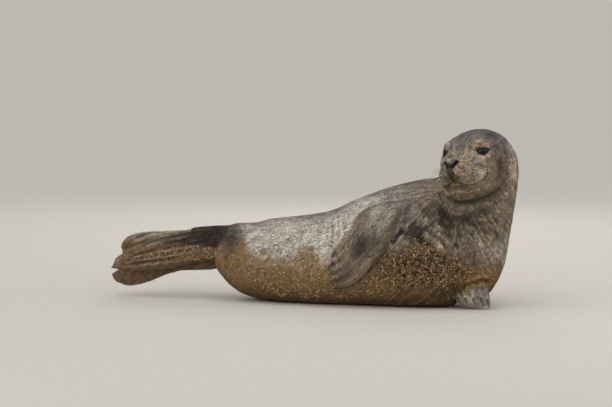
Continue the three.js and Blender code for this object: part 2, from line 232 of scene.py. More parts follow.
def spread(values, edges, count):
    """The sum of each vertex's neighbours, for one value or several at each vertex."""
    flat = values.reshape(count, -1)
    total = np.empty_like(flat)
    for column in range(flat.shape[1]):
        one = np.bincount(edges[:, 0], flat[edges[:, 1], column], count)
        other = np.bincount(edges[:, 1], flat[edges[:, 0], column], count)
        total[:, column] = one + other
    return total.reshape(values.shape)


def relaxed(values, edges, steps, inwards=0.5, outwards=0.0, weight=None):
    """Values drawn towards their neighbours, with every second step pushing back by "outwards"."""
    count = len(values)
    near = np.maximum(np.bincount(edges.ravel(), minlength=count), 1)
    near = near.reshape((-1,) + (1,) * (values.ndim - 1))
    ease = 1 if weight is None else weight.reshape(near.shape)
    for step in range(steps):
        move = spread(values, edges, count) / near - values
        values = values + ease * move * (-outwards if outwards and step % 2 else inwards)
    return values


def off_path(points, path):
    """Distance of each point from a path of straight legs, and how far along it that is, from 0 to 1."""
    path = np.array(path, float)
    lengths = np.linalg.norm(np.diff(path, axis=0), axis=1)
    starts = np.concatenate([[0], np.cumsum(lengths)])
    best = np.full(len(points), 1e9)
    along = np.zeros(len(points))
    for i, length in enumerate(lengths):
        leg = (path[i + 1] - path[i]) / length
        share = np.clip((points - path[i]) @ leg, 0, length)
        distance = np.linalg.norm(points - path[i] - share[:, None] * leg, axis=1)
        closer = distance < best
        best[closer] = distance[closer]
        along[closer] = (starts[i] + share[closer]) / starts[-1]
    return best, along


def groove(points, path, width, depth):
    """How far each point sinks into a groove that fades towards its ends."""
    distance, along = off_path(points, path)
    fade = np.clip(np.minimum(along, 1 - along) * 6 + 0.1, 0, 1)
    return depth * fade * np.exp(-((distance / width) ** 2))


def laid_on(tree, path, side=1):
    """A path of the head's frame, laid on the skin of one side, as close points of the part's frame."""
    path = from_head(np.array(path, float) * (1, side, 1))
    legs = np.diff(path, axis=0)
    steps = [path[i] + legs[i] * share for i in range(len(legs)) for share in (0, 0.34, 0.67)] + [path[-1]]
    return np.array([tree.find_nearest(Vector(place) * MM)[0] for place in steps]) / MM


def tree_of(mesh):
    """A search tree over a mesh's triangles, in metres."""
    return BVHTree.FromPolygons((points_of(mesh) * MM).tolist(), triangles_of(mesh).tolist())


def triangles_of(mesh):
    """The corners of a mesh's triangles."""
    mesh.calc_loop_triangles()
    values = np.empty(len(mesh.loop_triangles) * 3, np.int32)
    mesh.loop_triangles.foreach_get("vertices", values)
    return values.reshape(-1, 3)


def shape_of(work):
    """The corners and the triangles of a bmesh, which is freed."""
    bmesh.ops.triangulate(work, faces=work.faces)
    corners = np.array([v.co[:] for v in work.verts])
    faces = np.array([[v.index for v in f.verts] for f in work.faces])
    work.free()
    return corners, faces


def repeated(name, places, faces):
    """One mesh of many copies of a shape: each copy's corners, in millimetres, and the shape's triangles."""
    count, each = places.shape[:2]
    all_faces = (faces[None] + (np.arange(count) * each)[:, None, None]).reshape(-1, 3)
    mesh = bpy.data.meshes.new(name)
    mesh.vertices.add(count * each)
    mesh.loops.add(all_faces.size)
    mesh.polygons.add(len(all_faces))
    mesh.polygons.foreach_set("loop_start", np.arange(0, all_faces.size, 3, dtype=np.int32))
    mesh.loops.foreach_set("vertex_index", all_faces.astype(np.int32).ravel())
    place_points(mesh, places.reshape(-1, 3))
    return mesh


def new_piece(name, mesh, slot, *replaced):
    """Links a finished mesh as a piece that rides on the body, and hides the solids that it replaces; the
    slot is not used.
    """
    piece = bpy.data.objects.new(name, mesh)
    bpy.context.scene.collection.objects.link(piece)
    if replaced:
        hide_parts(*replaced)
    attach(piece, ROOT)
    return piece


def finished_mesh(piece, name):
    """The mesh of a piece with its modifiers or its curve worked out, in place of the piece itself."""
    depsgraph = bpy.context.evaluated_depsgraph_get()
    mesh = bpy.data.meshes.new_from_object(piece.evaluated_get(depsgraph))
    mesh.name = name
    bpy.data.objects.remove(piece)
    return mesh


def add_attribute(mesh, name, kind, values, key="value"):
    """Writes one value for each vertex as an attribute of the mesh."""
    attribute = mesh.attributes.get(name) or mesh.attributes.new(name, kind, "POINT")
    attribute.data.foreach_set(key, np.asarray(values, np.float32).ravel())


def read_attribute(mesh, name, width=1, key="value"):
    """Reads an attribute of the mesh's vertices."""
    values = np.empty(len(mesh.vertices) * width, np.float32)
    mesh.attributes[name].data.foreach_get(key, values)
    return values.reshape(-1, width) if width > 1 else values


def hollow_of(points, normals, edges, steps):
    """How far each vertex lies below its surroundings, in millimetres; below 0 on a ridge."""
    return ((relaxed(points, edges, steps) - points) * normals).sum(1)


def streaks(points, flow, size, seed, reach=16, steps=9):
    """Noise drawn out along the lie of the hair, from about -1 to 1."""
    total = sum(vary(points + flow * off, size, seed) for off in np.linspace(-reach, reach, steps))
    return np.clip(total / max(total.std() * 2, 1e-6), -1, 1)


def vary(points, size, seed):
    """Smooth noise at each point, from about -1 to 1, with lumps of the given size in millimetres."""
    shifted = points / size + seed * 17.3
    return np.array([noise.noise(p) for p in shifted.tolist()])


# ---- Sizes and colours ------------------------------------------------------------------------------------


def length(name, description, millimetres):
    """A length property with its default in millimetres."""
    return FloatProperty(
        name=name, description=description, default=millimetres * MM, min=0, unit="LENGTH", precision=4
    )


def colour(name, description, hex_colour):
    """A colour property with its default as an sRGB hex colour."""
    return FloatVectorProperty(
        name=name, description=description, default=linear(hex_colour), size=3, min=0, max=1, subtype="COLOR"
    )


class SealSizes(bpy.types.PropertyGroup):
    """Sizes of the skin and the coat."""

    grain: length("Skin grain", "Length of the faces of the skin", 4.3)
    depth: length("Coat depth", "How far the skin lies inside the outline of the body", 2.4)
    face_depth: length("Face depth", "How far the skin lies inside the outline of the head and flippers", 1.2)
    hair_body: length("Body hair", "Length of a tuft on the body", 11)
    hair_neck: length("Neck hair", "Length of a tuft on the neck and the shoulders", 15)
    hair_face: length("Face hair", "Length of a tuft on the head", 5)
    hair_flipper: length("Flipper hair", "Length of a tuft on a flipper", 7)
    tufts: IntProperty(name="Tufts", description="Number of tufts on the largest pieces", default=48000)
    whisker: length("Whisker", "Length of the longest whisker", 62)


class SealColours(bpy.types.PropertyGroup):
    """Colours of the coat, the bare skin, the eyes and the sand."""

    back: colour("Back", "Dark fur of the back", "#74706c")
    # Also laid on the edge of the neck as painted rim light.
    flank: colour("Flank", "Pale fur of the flank", "#c5baad")
    mottle: colour("Mottle", "Dark mottling of the fur", "#484441")
    brown: colour("Brown", "Brown-grey fur of the neck and the chest", "#74614e")
    sandy: colour("Sandy", "Fur full of sand on the underside", "#94703f")
    # Also laid as painted highlight on ridges, the chin's edge, the nose and the arm's upper edge, and as
    # painted rim light on the neck's edge.
    pale: colour("Pale", "Cream fur of the brow and the whisker pads", "#ae9c83")
    crown: colour("Crown", "Blue-grey fur of the crown", "#62605e")
    # Also laid in hollows and folds as painted shade, and on the chest as partly painted shade.
    dark: colour("Dark", "Nearly black fur of folds and of the hind flippers", "#1f1a15")
    russet: colour("Russet", "Red-brown fur of the cheeks", "#573a25")
    # Also laid as painted shade: in hollows, along the bottom of the body and under the chin.
    umber: colour("Umber", "Dark golden-brown fur, wet with sand", "#3d2a12")
    tan: colour("Tan", "Tan fur of the lip and the chin", "#70502a")
    bare: colour("Bare skin", "Bare wet skin of the lids, the nostrils and the lips", "#0f0c0b")
    sand: colour("Sand", "Dry sand stuck to the fur", "#997c54")
    eye: colour("Eye", "Dark brown eye, nearly black", "#050505")
    claw: colour("Claw", "Dark horn of the claws", "#33271c")
    whisker: colour("Whisker", "Pale horn of the whiskers", "#b7a68e")
    floor: colour("Floor", "Plain pale floor", "#b9b2a6")


# ---- Materials --------------------------------------------------------------------------------------------


# Sizes in the fur, in millimetres. A real hair is 0.1 mm thick and a real grain of sand 0.5 mm, too fine to
# show, so the flecks, the lie of the hair and the grains are drawn as coarse as they need to be.
SPOT = 15
FLECK = 5.5
HAIR_LIE = 2.4
SAND_GRAIN = 4.2


def add_node(tree, kind, inputs=None, **settings):
    """Adds a node with its settings, and its inputs, by name or by number, as links or values."""
    made = tree.nodes.new(kind)
    for key, value in settings.items():
        setattr(made, key, value)
    for key, value in (inputs or {}).items():
        if isinstance(value, bpy.types.NodeSocket):
            tree.links.new(value, made.inputs[key])
        else:
            made.inputs[key].default_value = value
    return made


def new_material(name, shown):
    """A material with only a Principled shader, and its node tree."""
    material = bpy.data.materials.new(name)
    material.use_nodes = True
    material.diffuse_color = (*shown, 1)
    tree = material.node_tree
    tree.nodes.clear()
    shader = add_node(tree, "ShaderNodeBsdfPrincipled")
    add_node(tree, "ShaderNodeOutputMaterial", {"Surface": shader.outputs[0]})
    return material, tree, shader


def fur_material(name, colours, roughness, bump_height):
    """Seal fur: short flat hair, dried in the wind, with sand caught between the hairs."""
    # The hairs lie over one another, so the coat is soft and matt with hardly any shine. Each strand has a
    # grey or a brown of its own, over spots that belong to the animal.
    material, tree, shader = new_material(name, colours.flank)
    place = add_node(tree, "ShaderNodeTexCoord").outputs["Object"]
    tint = add_node(tree, "ShaderNodeAttribute", attribute_name="tint").outputs["Color"]
    mottle = add_node(tree, "ShaderNodeAttribute", attribute_name="mottle").outputs["Fac"]
    sandy = add_node(tree, "ShaderNodeAttribute", attribute_name="sand").outputs["Fac"]
    strand = add_node(tree, "ShaderNodeAttribute", attribute_name="strand").outputs["Fac"]
    spots = add_node(
        tree, "ShaderNodeTexNoise",
        {"Vector": place, "Scale": 1 / (SPOT * MM), "Detail": 4.0, "Roughness": 0.65, "Distortion": 0.9},
    )
    spots = add_node(
        tree, "ShaderNodeMapRange",
        {"Value": spots.outputs["Fac"], "From Min": 0.48, "From Max": 0.62, "To Min": 0.0, "To Max": 0.9},
        interpolation_type="SMOOTHSTEP",
    )
    amount = add_node(tree, "ShaderNodeMath", {0: spots.outputs[0], 1: mottle}, operation="MULTIPLY")
    coat = add_node(
        tree, "ShaderNodeMix", {0: amount.outputs[0], 6: tint, 7: (*colours.mottle, 1)}, data_type="RGBA"
    )
    flecks = add_node(
        tree, "ShaderNodeTexNoise",
        {"Vector": place, "Scale": 1 / (FLECK * MM), "Detail": 4.0, "Roughness": 0.7},
    )
    flecks = add_node(
        tree, "ShaderNodeMapRange",
        {"Value": flecks.outputs["Fac"], "From Min": 0.34, "From Max": 0.66, "To Min": 0.58, "To Max": 1.46},
    )
    shades = add_node(
        tree, "ShaderNodeMapRange",
        {"Value": strand, "From Min": 0.0, "From Max": 1.0, "To Min": 0.52, "To Max": 1.5},
    )
    for light in (flecks, shades):
        coat = add_node(
            tree, "ShaderNodeMix", {0: 1.0, 6: coat.outputs[2], 7: light.outputs[0]},
            data_type="RGBA", blend_type="MULTIPLY",
        )
    grains = add_node(
        tree, "ShaderNodeTexVoronoi", {"Vector": place, "Scale": 1 / (SAND_GRAIN * MM), "Randomness": 1.0}
    )
    reach = add_node(tree, "ShaderNodeMath", {0: sandy, 1: 0.62}, operation="MULTIPLY")
    near = add_node(
        tree, "ShaderNodeMath", {0: reach.outputs[0], 1: grains.outputs["Distance"]}, operation="SUBTRACT"
    )
    sand = add_node(
        tree, "ShaderNodeMapRange",
        {"Value": near.outputs[0], "From Min": -0.06, "From Max": 0.08, "To Min": 0.0, "To Max": 0.85},
    )
    coat = add_node(
        tree, "ShaderNodeMix", {0: sand.outputs[0], 6: coat.outputs[2], 7: (*colours.sand, 1)},
        data_type="RGBA",
    )
    tree.links.new(coat.outputs[2], shader.inputs["Base Color"])
    shader.inputs["Roughness"].default_value = roughness
    shader.inputs["IOR"].default_value = 1.45
    shader.inputs["Specular IOR Level"].default_value = 0.25
    shader.inputs["Sheen Weight"].default_value = 0.03
    shader.inputs["Sheen Roughness"].default_value = 0.5
    if bump_height:
        lie = add_node(
            tree, "ShaderNodeTexNoise",
            {"Vector": place, "Scale": 1 / (HAIR_LIE * MM), "Detail": 2.0, "Roughness": 0.6},
        )
        bump = add_node(
            tree, "ShaderNodeBump",
            {"Height": lie.outputs["Fac"], "Strength": 0.5, "Distance": bump_height * MM},
        )
        tree.links.new(bump.outputs[0], shader.inputs["Normal"])
    return material


def plain_material(name, shown, roughness, ior=1.5, coat=0.0, grain=4, depth=0.0, contrast=0.25):
    """A material of one colour, lighter and darker by its contrast, with a grain in its surface.

    The size of the grain and its depth are in millimetres.
    """
    material, tree, shader = new_material(name, shown)
    place = add_node(tree, "ShaderNodeTexCoord").outputs["Object"]
    pattern = add_node(
        tree, "ShaderNodeTexNoise", {"Vector": place, "Scale": 1 / (grain * MM), "Detail": 3.0}
    )
    light = add_node(
        tree, "ShaderNodeMapRange",
        {"Value": pattern.outputs["Fac"], "From Min": 0.3, "From Max": 0.7,
         "To Min": 1 - contrast, "To Max": 1 + contrast},
    )
    tone = add_node(
        tree, "ShaderNodeMix", {0: 1.0, 6: (*shown, 1), 7: light.outputs[0]},
        data_type="RGBA", blend_type="MULTIPLY",
    )
    tree.links.new(tone.outputs[2], shader.inputs["Base Color"])
    shader.inputs["Roughness"].default_value = roughness
    shader.inputs["IOR"].default_value = ior
    shader.inputs["Coat Weight"].default_value = coat
    shader.inputs["Coat Roughness"].default_value = 0.03
    if depth:
        bump = add_node(
            tree, "ShaderNodeBump",
            {"Height": pattern.outputs["Fac"], "Strength": 0.6, "Distance": depth * MM},
        )
        tree.links.new(bump.outputs[0], shader.inputs["Normal"])
    return material


# ---- Skin -------------------------------------------------------------------------------------------------

FLESH = sorted(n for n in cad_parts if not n.startswith(("eye", "claw")))
SKIN = "skin"
OVERLAP = 0.5  # how far a copy of each solid grows, so that neighbours run into each other
SKIN_FLOOR = 0.4  # how high the skin stays over the ground
COAT_FLOOR = 0.05  # how high the hair stays over the ground
STRAND_OF_SKIN = 0.36  # shade of the skin among the strands, from 0 to 1
REGIONS = ["trunk", "chest", "neck", "head", "fore_flipper", "hind_flipper"]
BODY, HEAD, FORE, HIND = (0, 1, 2), 3, (4,), (5,)
# For each region: how far locks of hair rise in millimetres, how much lighter or darker each is, and how much
# of the mottling shows.
RUFFLE = np.array([0.2, 0.8, 1.0, 0.15, 0.15, 0.25])
LIVELY = np.array([0.24, 0.44, 0.62, 0.36, 0.26, 0.34])
MOTTLING = np.array([0.44, 0.44, 0.6, 0.75, 0.44, 0.5])

# Where the skin is blended or filled, in millimetres of the part's frame.
LEFT_ARM_FROM = 400  # X beyond which a fore flipper is the left one
ARM_HEIGHTS = (205, 245)  # the right arm blends into the shoulder over these heights
PALM_REACH = (88, 132)  # X over which the furrows of the right fore flipper fade
HIPS = (-285, -240, -190, -150)  # X from which the hips blend, do so fully, and stop
TIPS_REACH = (-520, -552)  # X over which the tips of the hind flippers round off
SEAM = (-243, 38, 180, 206, 10)  # the root of the hind flippers: X, width, heights and rise
KNOB = ((-552, 108), 15, 6, 185)  # the right hind flipper's tip: X and Z, radius, rise, and the largest Y


def region_of(node):
    """The region of the coat that a solid belongs to, as its place in REGIONS."""
    if node in ("pelvis", "trunk"):
        return 0
    if node == "tail":
        return 5
    return next(i for i, name in enumerate(REGIONS) if node.startswith(name))


def grown_copy(work, node, grow):
    """Adds a solid to a bmesh, its corners merged and its surface moved out by grow millimetres."""
    copy = bmesh.new()
    copy.from_mesh(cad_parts[node].data)
    bmesh.ops.remove_doubles(copy, verts=copy.verts, dist=0.02 * MM)
    copy.normal_update()
    moved = [v.co + v.normal * grow * MM for v in copy.verts]
    for vert, place in zip(copy.verts, moved):
        vert.co = place
    mesh = bpy.data.meshes.new("grown")
    copy.to_mesh(mesh)
    copy.free()
    work.from_mesh(mesh)
    bpy.data.meshes.remove(mesh)


def voxel_skin(grain):
    """All of the flesh, and the eyes to fill their sockets, as one closed mesh of even faces."""
    work = bmesh.new()
    for node in FLESH:
        grown_copy(work, node, OVERLAP)
    for eye in ("eye_left", "eye_right"):
        grown_copy(work, eye, 2 * OVERLAP)
    mesh = bpy.data.meshes.new("flesh")
    work.to_mesh(mesh)
    work.free()
    lump = bpy.data.objects.new("flesh", mesh)
    bpy.context.scene.collection.objects.link(lump)
    remesh = lump.modifiers.new("remesh", "REMESH")
    remesh.mode = "VOXEL"
    remesh.voxel_size = grain
    return finished_mesh(lump, SKIN)


def regions_at(points):
    """The region of the nearest solid, for each point."""
    corners, faces, owners = [], [], []
    for node in FLESH:
        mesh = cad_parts[node].data
        start = len(corners)
        corners.extend(v.co[:] for v in mesh.vertices)
        for polygon in mesh.polygons:
            faces.append([start + i for i in polygon.vertices])
            owners.append(region_of(node))
    tree = BVHTree.FromPolygons(corners, faces)
    found = [tree.find_nearest(p)[2] for p in (points * MM).tolist()]
    return np.array(owners)[found]


def refine(mesh, centre, reach):
    """Divides the faces within reach of a point, both in millimetres."""
    work = bmesh.new()
    work.from_mesh(mesh)
    middle = Vector(centre) * MM
    near = [e for e in work.edges if ((e.verts[0].co + e.verts[1].co) / 2 - middle).length < reach * MM]
    bmesh.ops.subdivide_edges(work, edges=near, cuts=1, use_grid_fill=True, smooth=0.0)
    work.to_mesh(mesh)
    work.free()


def evened(points, edges, regions):
    """Smooths the steps of the voxels away, and blends the arm, the hips, the tips and the palm."""
    body = relaxed((regions < HEAD).astype(float), edges, 8)
    points = relaxed(points, edges, 4, 0.5, 0.53)
    points = relaxed(points, edges, 8, 0.5, 0.53, relaxed((regions <= HEAD).astype(float), edges, 2))
    points = relaxed(points, edges, 42, 0.5, 0.53, body)
    points = relaxed(points, edges, 6, 0.5, 0.0, body)
    along, high = points[:, 0], points[:, 2]
    flipper = np.isin(regions, FORE).astype(float)
    arm = smooth(0.02, 0.3, relaxed(flipper, edges, 14))
    arm *= smooth(*ARM_HEIGHTS, high) * (along < LEFT_ARM_FROM)
    hips = smooth(*HIPS[:2], along) * smooth(HIPS[3], HIPS[2], along)
    tips = smooth(*TIPS_REACH, along)
    palm = relaxed(flipper, edges, 4) * smooth(*PALM_REACH, along)
    points = relaxed(points, edges, 70, 0.5, 0.0, np.maximum(arm, 0.4 * hips))
    points = relaxed(points, edges, 24, 0.5, 0.0, tips)
    points = relaxed(points, edges, 63, 0.5, 0.52, palm * (points[:, 0] < LEFT_ARM_FROM))
    middle, width, bottom, top, rise = SEAM
    seam = np.exp(-(((points[:, 0] - middle) / width) ** 2)) * smooth(bottom, top, points[:, 2])
    points[:, 2] += rise * seam
    return points


def round_tip(mesh, points):
    """Thickens the tip of the right hind flipper to a knob."""
    centre, radius, rise, widest = KNOB
    place_points(mesh, points)
    knob = np.exp(-(((points[:, [0, 2]] - centre) / radius) ** 2).sum(1)) * (points[:, 1] < widest)
    place_points(mesh, points + normals_of(mesh) * rise * knob[:, None])


def eye_axes(side):
    """The middle of an eye, and its look, its outer side and up, in the part's frame."""
    turn = math.radians(EYE_LOOK)
    centre = from_head((EYE_FORWARD, side * EYE_ASIDE, EYE_UP))[0]
    look = head_turn @ np.array((math.cos(turn), side * math.sin(turn), 0))
    aside = head_turn @ np.array((-math.sin(turn), side * math.cos(turn), 0))
    return centre, look, aside, head_turn[:, 2]


def inside_lids(across, height):
    """How many degrees a direction lies inside the opening of the lids; below 0 is outside it."""
    middle_across, middle_height = LIDS["middle"]
    share = (across - middle_across) / LIDS["half_width"]
    round_off = np.clip(1 - share**2, 0, 1) ** LIDS["fullness"]
    above = middle_height + LIDS["above"] * round_off
    below = middle_height - LIDS["below"] * round_off
    inside = np.minimum(above - height, height - below)
    beside = LIDS["half_width"] * (1 - np.abs(share))
    outside = beside - np.abs(height - middle_height)
    return np.where(np.abs(share) < 1, np.minimum(inside, beside + 4), outside)


def form_lids(points, side):
    """Draws the face over the eyeball as lids, and sinks it behind the ball where they are open."""
    centre, look, aside, up = eye_axes(side)
    off = points - centre
    reach = np.linalg.norm(off, axis=1)
    ahead = off @ look
    near = np.where((reach < 46) & (ahead > 2))[0]
    off, reach, ahead = off[near], reach[near], ahead[near]
    across = np.degrees(np.arctan2(off @ aside, ahead))
    height = np.degrees(np.arcsin(np.clip(off @ up / reach, -1, 1)))
    inside = inside_lids(across, height)
    lid = EYE_RADIUS + LID_THICK
    out = smooth(0, LID_FADE, -inside)
    fold = 0.9 * np.exp(-(((inside + 9) / 4) ** 2))
    wanted = lid + (np.maximum(reach, lid) - lid) * out - fold
    wanted = np.where(inside > 0, lid - (LID_THICK + 3) * smooth(0, 5, inside), wanted)
    ease = smooth(46, 36, reach) * smooth(2, 10, ahead)
    points[near] = centre + off * ((1 - ease) + ease * wanted / reach)[:, None]
    return points


def swelling(local, middle, radius, height, pair):
    """How far each point of the head rises for a soft swelling, on one side or on both."""
    total = np.zeros(len(local))
    for side in (1, -1) if pair else (1,):
        off = np.linalg.norm(local - np.array(middle) * (1, side, 1), axis=1)
        total += height * np.exp(-((off / radius) ** 2))
    return total


def head_paths(tree):
    """The grooves of the face on both sides, laid on the skin: path, width, depth and bareness."""
    return [
        (laid_on(tree, path, side), width, depth, bareness)
        for path, width, depth, bareness, pair in HEAD_GROOVES
        for side in ((1, -1) if pair else (1,))
    ]


def sculpt_head(points, normals, tree):
    """Swellings, and then grooves, of the face."""
    local = to_head(points)
    near = np.where(np.linalg.norm(local - (90, 0, -20), axis=1) < 160)[0]
    risen = sum(swelling(local[near], *item) for item in HEAD_SWELLINGS)
    sunk = sum(groove(points[near], *item[:3]) for item in head_paths(tree))
    points[near] += normals[near] * (risen - np.minimum(sunk, 10))[:, None]
    return points


def sculpt_body(points, normals, regions, edges):
    """Folds of the skin on both sides of the body, and furrows between the digits."""
    flat = points[:, [0, 2]]
    body, fore, hind = (relaxed(np.isin(regions, own).astype(float), edges, 3) for own in (BODY, FORE, HIND))
    sunk = np.zeros(len(points))
    for folds, facing, own in (
        (NEAR_FOLDS, -normals[:, 1], body), (FAR_FOLDS, normals[:, 1], body),
        (FORE_FOLDS, -normals[:, 1], fore), (HIND_FOLDS, -normals[:, 1], hind),
    ):
        for path, width, depth in folds:
            sunk += groove(flat, path, width, depth) * smooth(0.05, 0.5, facing) * own
    return points - normals * sunk[:, None]


def lie_of_coat(points, edges, normals, start):
    """The way the hair lies at each vertex: away from the nose, over the skin."""
    count = len(points)
    legs = points[edges[:, 1]] - points[edges[:, 0]]
    lengths = np.linalg.norm(legs, axis=1)
    neighbours = [[] for _ in range(count)]
    for (a, b), leg in zip(edges.tolist(), lengths.tolist()):
        neighbours[a].append((b, leg))
        neighbours[b].append((a, leg))
    distance = [1e9] * count
    distance[start] = 0.0
    queue = [(0.0, start)]
    while queue:
        far, at = heapq.heappop(queue)
        if far > distance[at]:
            continue
        for other, leg in neighbours[at]:
            if far + leg < distance[other]:
                distance[other] = far + leg
                heapq.heappush(queue, (far + leg, other))
    distance = relaxed(np.array(distance), edges, 20)
    steps = ((distance[edges[:, 1]] - distance[edges[:, 0]]) / np.maximum(lengths, 1e-6) ** 2)[:, None] * legs
    flow = np.zeros((count, 3))
    for axis in range(3):
        flow[:, axis] = np.bincount(edges[:, 0], steps[:, axis], count)
        flow[:, axis] += np.bincount(edges[:, 1], steps[:, axis], count)
    flow = relaxed(flow, edges, 12)
    flow -= normals * (flow * normals).sum(1)[:, None]
    return flow / np.maximum(np.linalg.norm(flow, axis=1), 1e-9)[:, None]


# ---- Markings ---------------------------------------------------------------------------------------------

# Patches of colour on the belly's side, as ellipses seen from -Y: colour, centre (X, Z), half sizes, turn in
# degrees, strength, and the regions that they are on.
NEAR_PATCHES = [
    ("flank", (-60, 205), (120, 40), 4, 0.5, BODY),
    ("back", (30, 256), (70, 18), 14, 0.5, BODY),
    ("sandy", (-206, 142), (34, 50), 0, 0.7, BODY),
    ("brown", (-214, 178), (34, 44), 0, 0.7, BODY),
    ("dark", (-226, 204), (34, 40), 0, 0.7, BODY),
    ("umber", (-234, 150), (16, 50), 0, 0.55, BODY),
    ("flank", (180, 262), (64, 30), -50, 0.6, BODY),
    ("back", (236, 300), (60, 30), -30, 0.45, BODY),
    ("mottle", (262, 250), (20, 40), -20, 0.4, BODY),
    # The dark brown of the chest: its own colour, made darker as painted shade of the underside.
    ("dark", (300, 216), (54, 34), -25, 0.88, BODY),
    ("dark", (342, 262), (60, 16), -38, 0.6, BODY),
    ("dark", (386, 272), (56, 46), -20, 0.75, BODY),
    ("umber", (400, 236), (40, 40), -20, 0.35, BODY),
    ("umber", (424, 284), (74, 24), 10, 0.55, BODY),
    ("pale", (350, 224), (44, 9), -38, 0.5, BODY),
    ("pale", (346, 188), (42, 8), -46, 0.42, BODY),
    ("back", (420, 196), (26, 50), -20, 0.4, BODY),
    ("back", (470, 310), (60, 40), 10, 0.3, BODY),
    # The pale edge of the neck: partly pale hairs, partly painted rim light.
    ("pale", (548, 300), (34, 130), 8, 0.75, BODY),
    ("pale", (520, 380), (40, 60), 8, 0.5, BODY),
    ("tan", (500, 240), (36, 80), 10, 0.4, BODY),
    ("pale", (-150, 96), (60, 30), 0, 0.22, BODY),
    ("umber", (300, 116), (126, 66), 5, 0.72, BODY),
    ("umber", (380, 60), (50, 34), 0, 0.7, BODY),
    ("flank", (194, 254), (34, 60), -42, 0.5, FORE),
    ("brown", (236, 236), (20, 50), -42, 0.75, FORE),
    ("pale", (120, 118), (60, 76), 0, 0.45, FORE),
    ("mottle", (154, 188), (52, 30), 60, 0.5, FORE),
    ("dark", (136, 172), (32, 20), 60, 0.62, FORE),
    ("umber", (196, 160), (50, 9), 55, 0.4, FORE),
    ("pale", (60, 108), (16, 64), -10, 0.8, FORE),
    # A thin pale line along the upper edge of the arm and the hand: painted highlight.
    ("pale", (100, 206), (60, 9), 48, 0.7, FORE),
    ("mottle", (98, 96), (16, 40), -30, 0.5, FORE),
    ("flank", (456, 50), (56, 46), 0, 0.85, FORE),
    ("crown", (474, 46), (26, 26), 0, 0.6, FORE),
    ("pale", (430, 44), (16, 40), 0, 0.6, FORE),
]
# Crusts of sand: centre, half sizes, turn and strength.
CRUSTS = [
    ((300, 124), (112, 62), -8, 1.0),
    ((330, 160), (50, 22), -8, 0.9),
    ((-12, 132), (36, 34), 0, 0.75),
    ((-132, 148), (9, 9), 0, 0.8),
    ((-14, 159), (10, 10), 0, 0.9),
    ((41, 102), (26, 20), 0, 0.6),
    ((-100, 96), (90, 22), 4, 0.4),
    ((60, 66), (270, 46), 2, 0.3),
]
# Spots on both sides of the head, in its frame: colour, centre, half sizes and strength.
HEAD_SPOTS = [
    ("crown", (116, 6, 38), (24, 14, 22), 0.85),
    ("crown", (95, 10, 64), (30, 18, 16), 0.8),
    ("crown", (106, 26, 52), (18, 12, 12), 0.5),
    ("brown", (118, 30, 36), (16, 12, 16), 0.7),
    ("tan", (105, 8, 56), (16, 5, 7), 0.3),
    ("tan", (96, 36, 61), (10, 6, 7), 0.35),
    ("dark", (46, 56, 68), (26, 20, 14), 0.62),
    ("dark", (20, 30, 88), (40, 20, 14), 0.3),
    ("pale", (106, 54, 49), (16, 16, 6), 0.8),
    ("pale", (92, 72, 38), (10, 12, 6), 0.5),
    ("pale", (123, 42, 20), (9, 12, 12), 0.6),
    ("pale", (118, 64, 2), (14, 14, 6), 0.7),
    ("pale", (100, 79, 8), (14, 12, 6), 0.6),
    ("russet", (86, 82, 2), (12, 12, 10), 0.5),
    ("russet", (62, 86, -12), (18, 16, 20), 0.8),
    ("russet", (60, 86, -36), (22, 16, 20), 0.6),
    ("dark", (62, 86, -22), (12, 14, 16), 0.45),
    ("russet", (60, 80, 33), (14, 14, 9), 0.5),
    ("crown", (14, 88, 4), (8, 20, 50), 0.4),
    ("pale", (-16, 88, -22), (30, 44, 84), 0.95),
    ("flank", (-16, 96, -40), (16, 40, 60), 0.3),
    ("crown", (134, 54, -14), (14, 12, 9), 0.75),
    ("dark", (120, 64, -20), (7, 8, 12), 0.5),
    ("pale", (124, 62, -42), (20, 14, 16), 0.6),
    ("flank", (119, 66, -38), (9, 10, 15), 0.22),
    ("sandy", (150, 34, -10), (16, 14, 12), 0.4),
    ("pale", (148, 38, -42), (16, 18, 12), 0.3),
    # Pale rim over the nostrils: partly its own pale fur, partly painted highlight on the ridge.
    ("pale", (166, 16, 6), (8, 12, 4), 0.8),
    ("dark", (182, 0, -16), (12, 13, 14), 0.95),
    ("dark", (178, 6, -36), (12, 8, 18), 0.85),
    ("umber", (168, 14, -52), (14, 16, 12), 0.65),
    ("dark", (166, 0, -54), (12, 8, 16), 0.8),
    ("brown", (92, 80, -42), (16, 14, 22), 0.4),
    ("tan", (130, 20, -96), (30, 40, 12), 0.75),
]
LIP_BAND = [(156, 0, -75), (150, 20, -75), (138, 37, -78), (122, 54, -73), (109, 68, -64), (102, 76, -52)]
# The lower edge of the chin on one side, where a painted highlight runs along it.
PAINTED_CHIN_HIGHLIGHT = [(112, -60, -80), (126, -40, -96), (133, -16, -104), (130, 12, -108), (116, 36, -104)]
# The throat just under the chin, where the chin's shadow falls.
THROAT_SHADOW = [(97, -60, -100), (100, -45, -115), (103, -22, -128), (95, 2, -132), (80, 25, -128), (66, 40, -122),
          (52, 54, -112), (46, 71, -95)]
# Bands of colour along paths over the face: colour, path, reach, strength and sides.
HEAD_BANDS = [
    # Painted shadow under the chin, in the dark golden-brown.
    ("umber", THROAT_SHADOW, 20, 0.5, (1,)),
    ("tan", LIP_BAND, 9, 0.8, (1, -1)),
    # Painted highlight along the chin's edge.
    ("pale", PAINTED_CHIN_HIGHLIGHT, 5, 0.7, (1,)),
]
ARM_TOP = ((240, 300), (56, 26), 0)  # where the arm meets the shoulder: centre, half sizes and turn


def patch(points, centre, size, turn, wobble):
    """How far each point (X, Z) lies inside a soft ellipse with an uneven edge, from 0 to 1."""
    angle = math.radians(turn)
    off = points - centre
    across = (off[:, 0] * math.cos(angle) + off[:, 1] * math.sin(angle)) / size[0]
    along = (-off[:, 0] * math.sin(angle) + off[:, 1] * math.cos(angle)) / size[1]
    return smooth(1.3, 0.5, np.hypot(across, along) + wobble * 0.3)


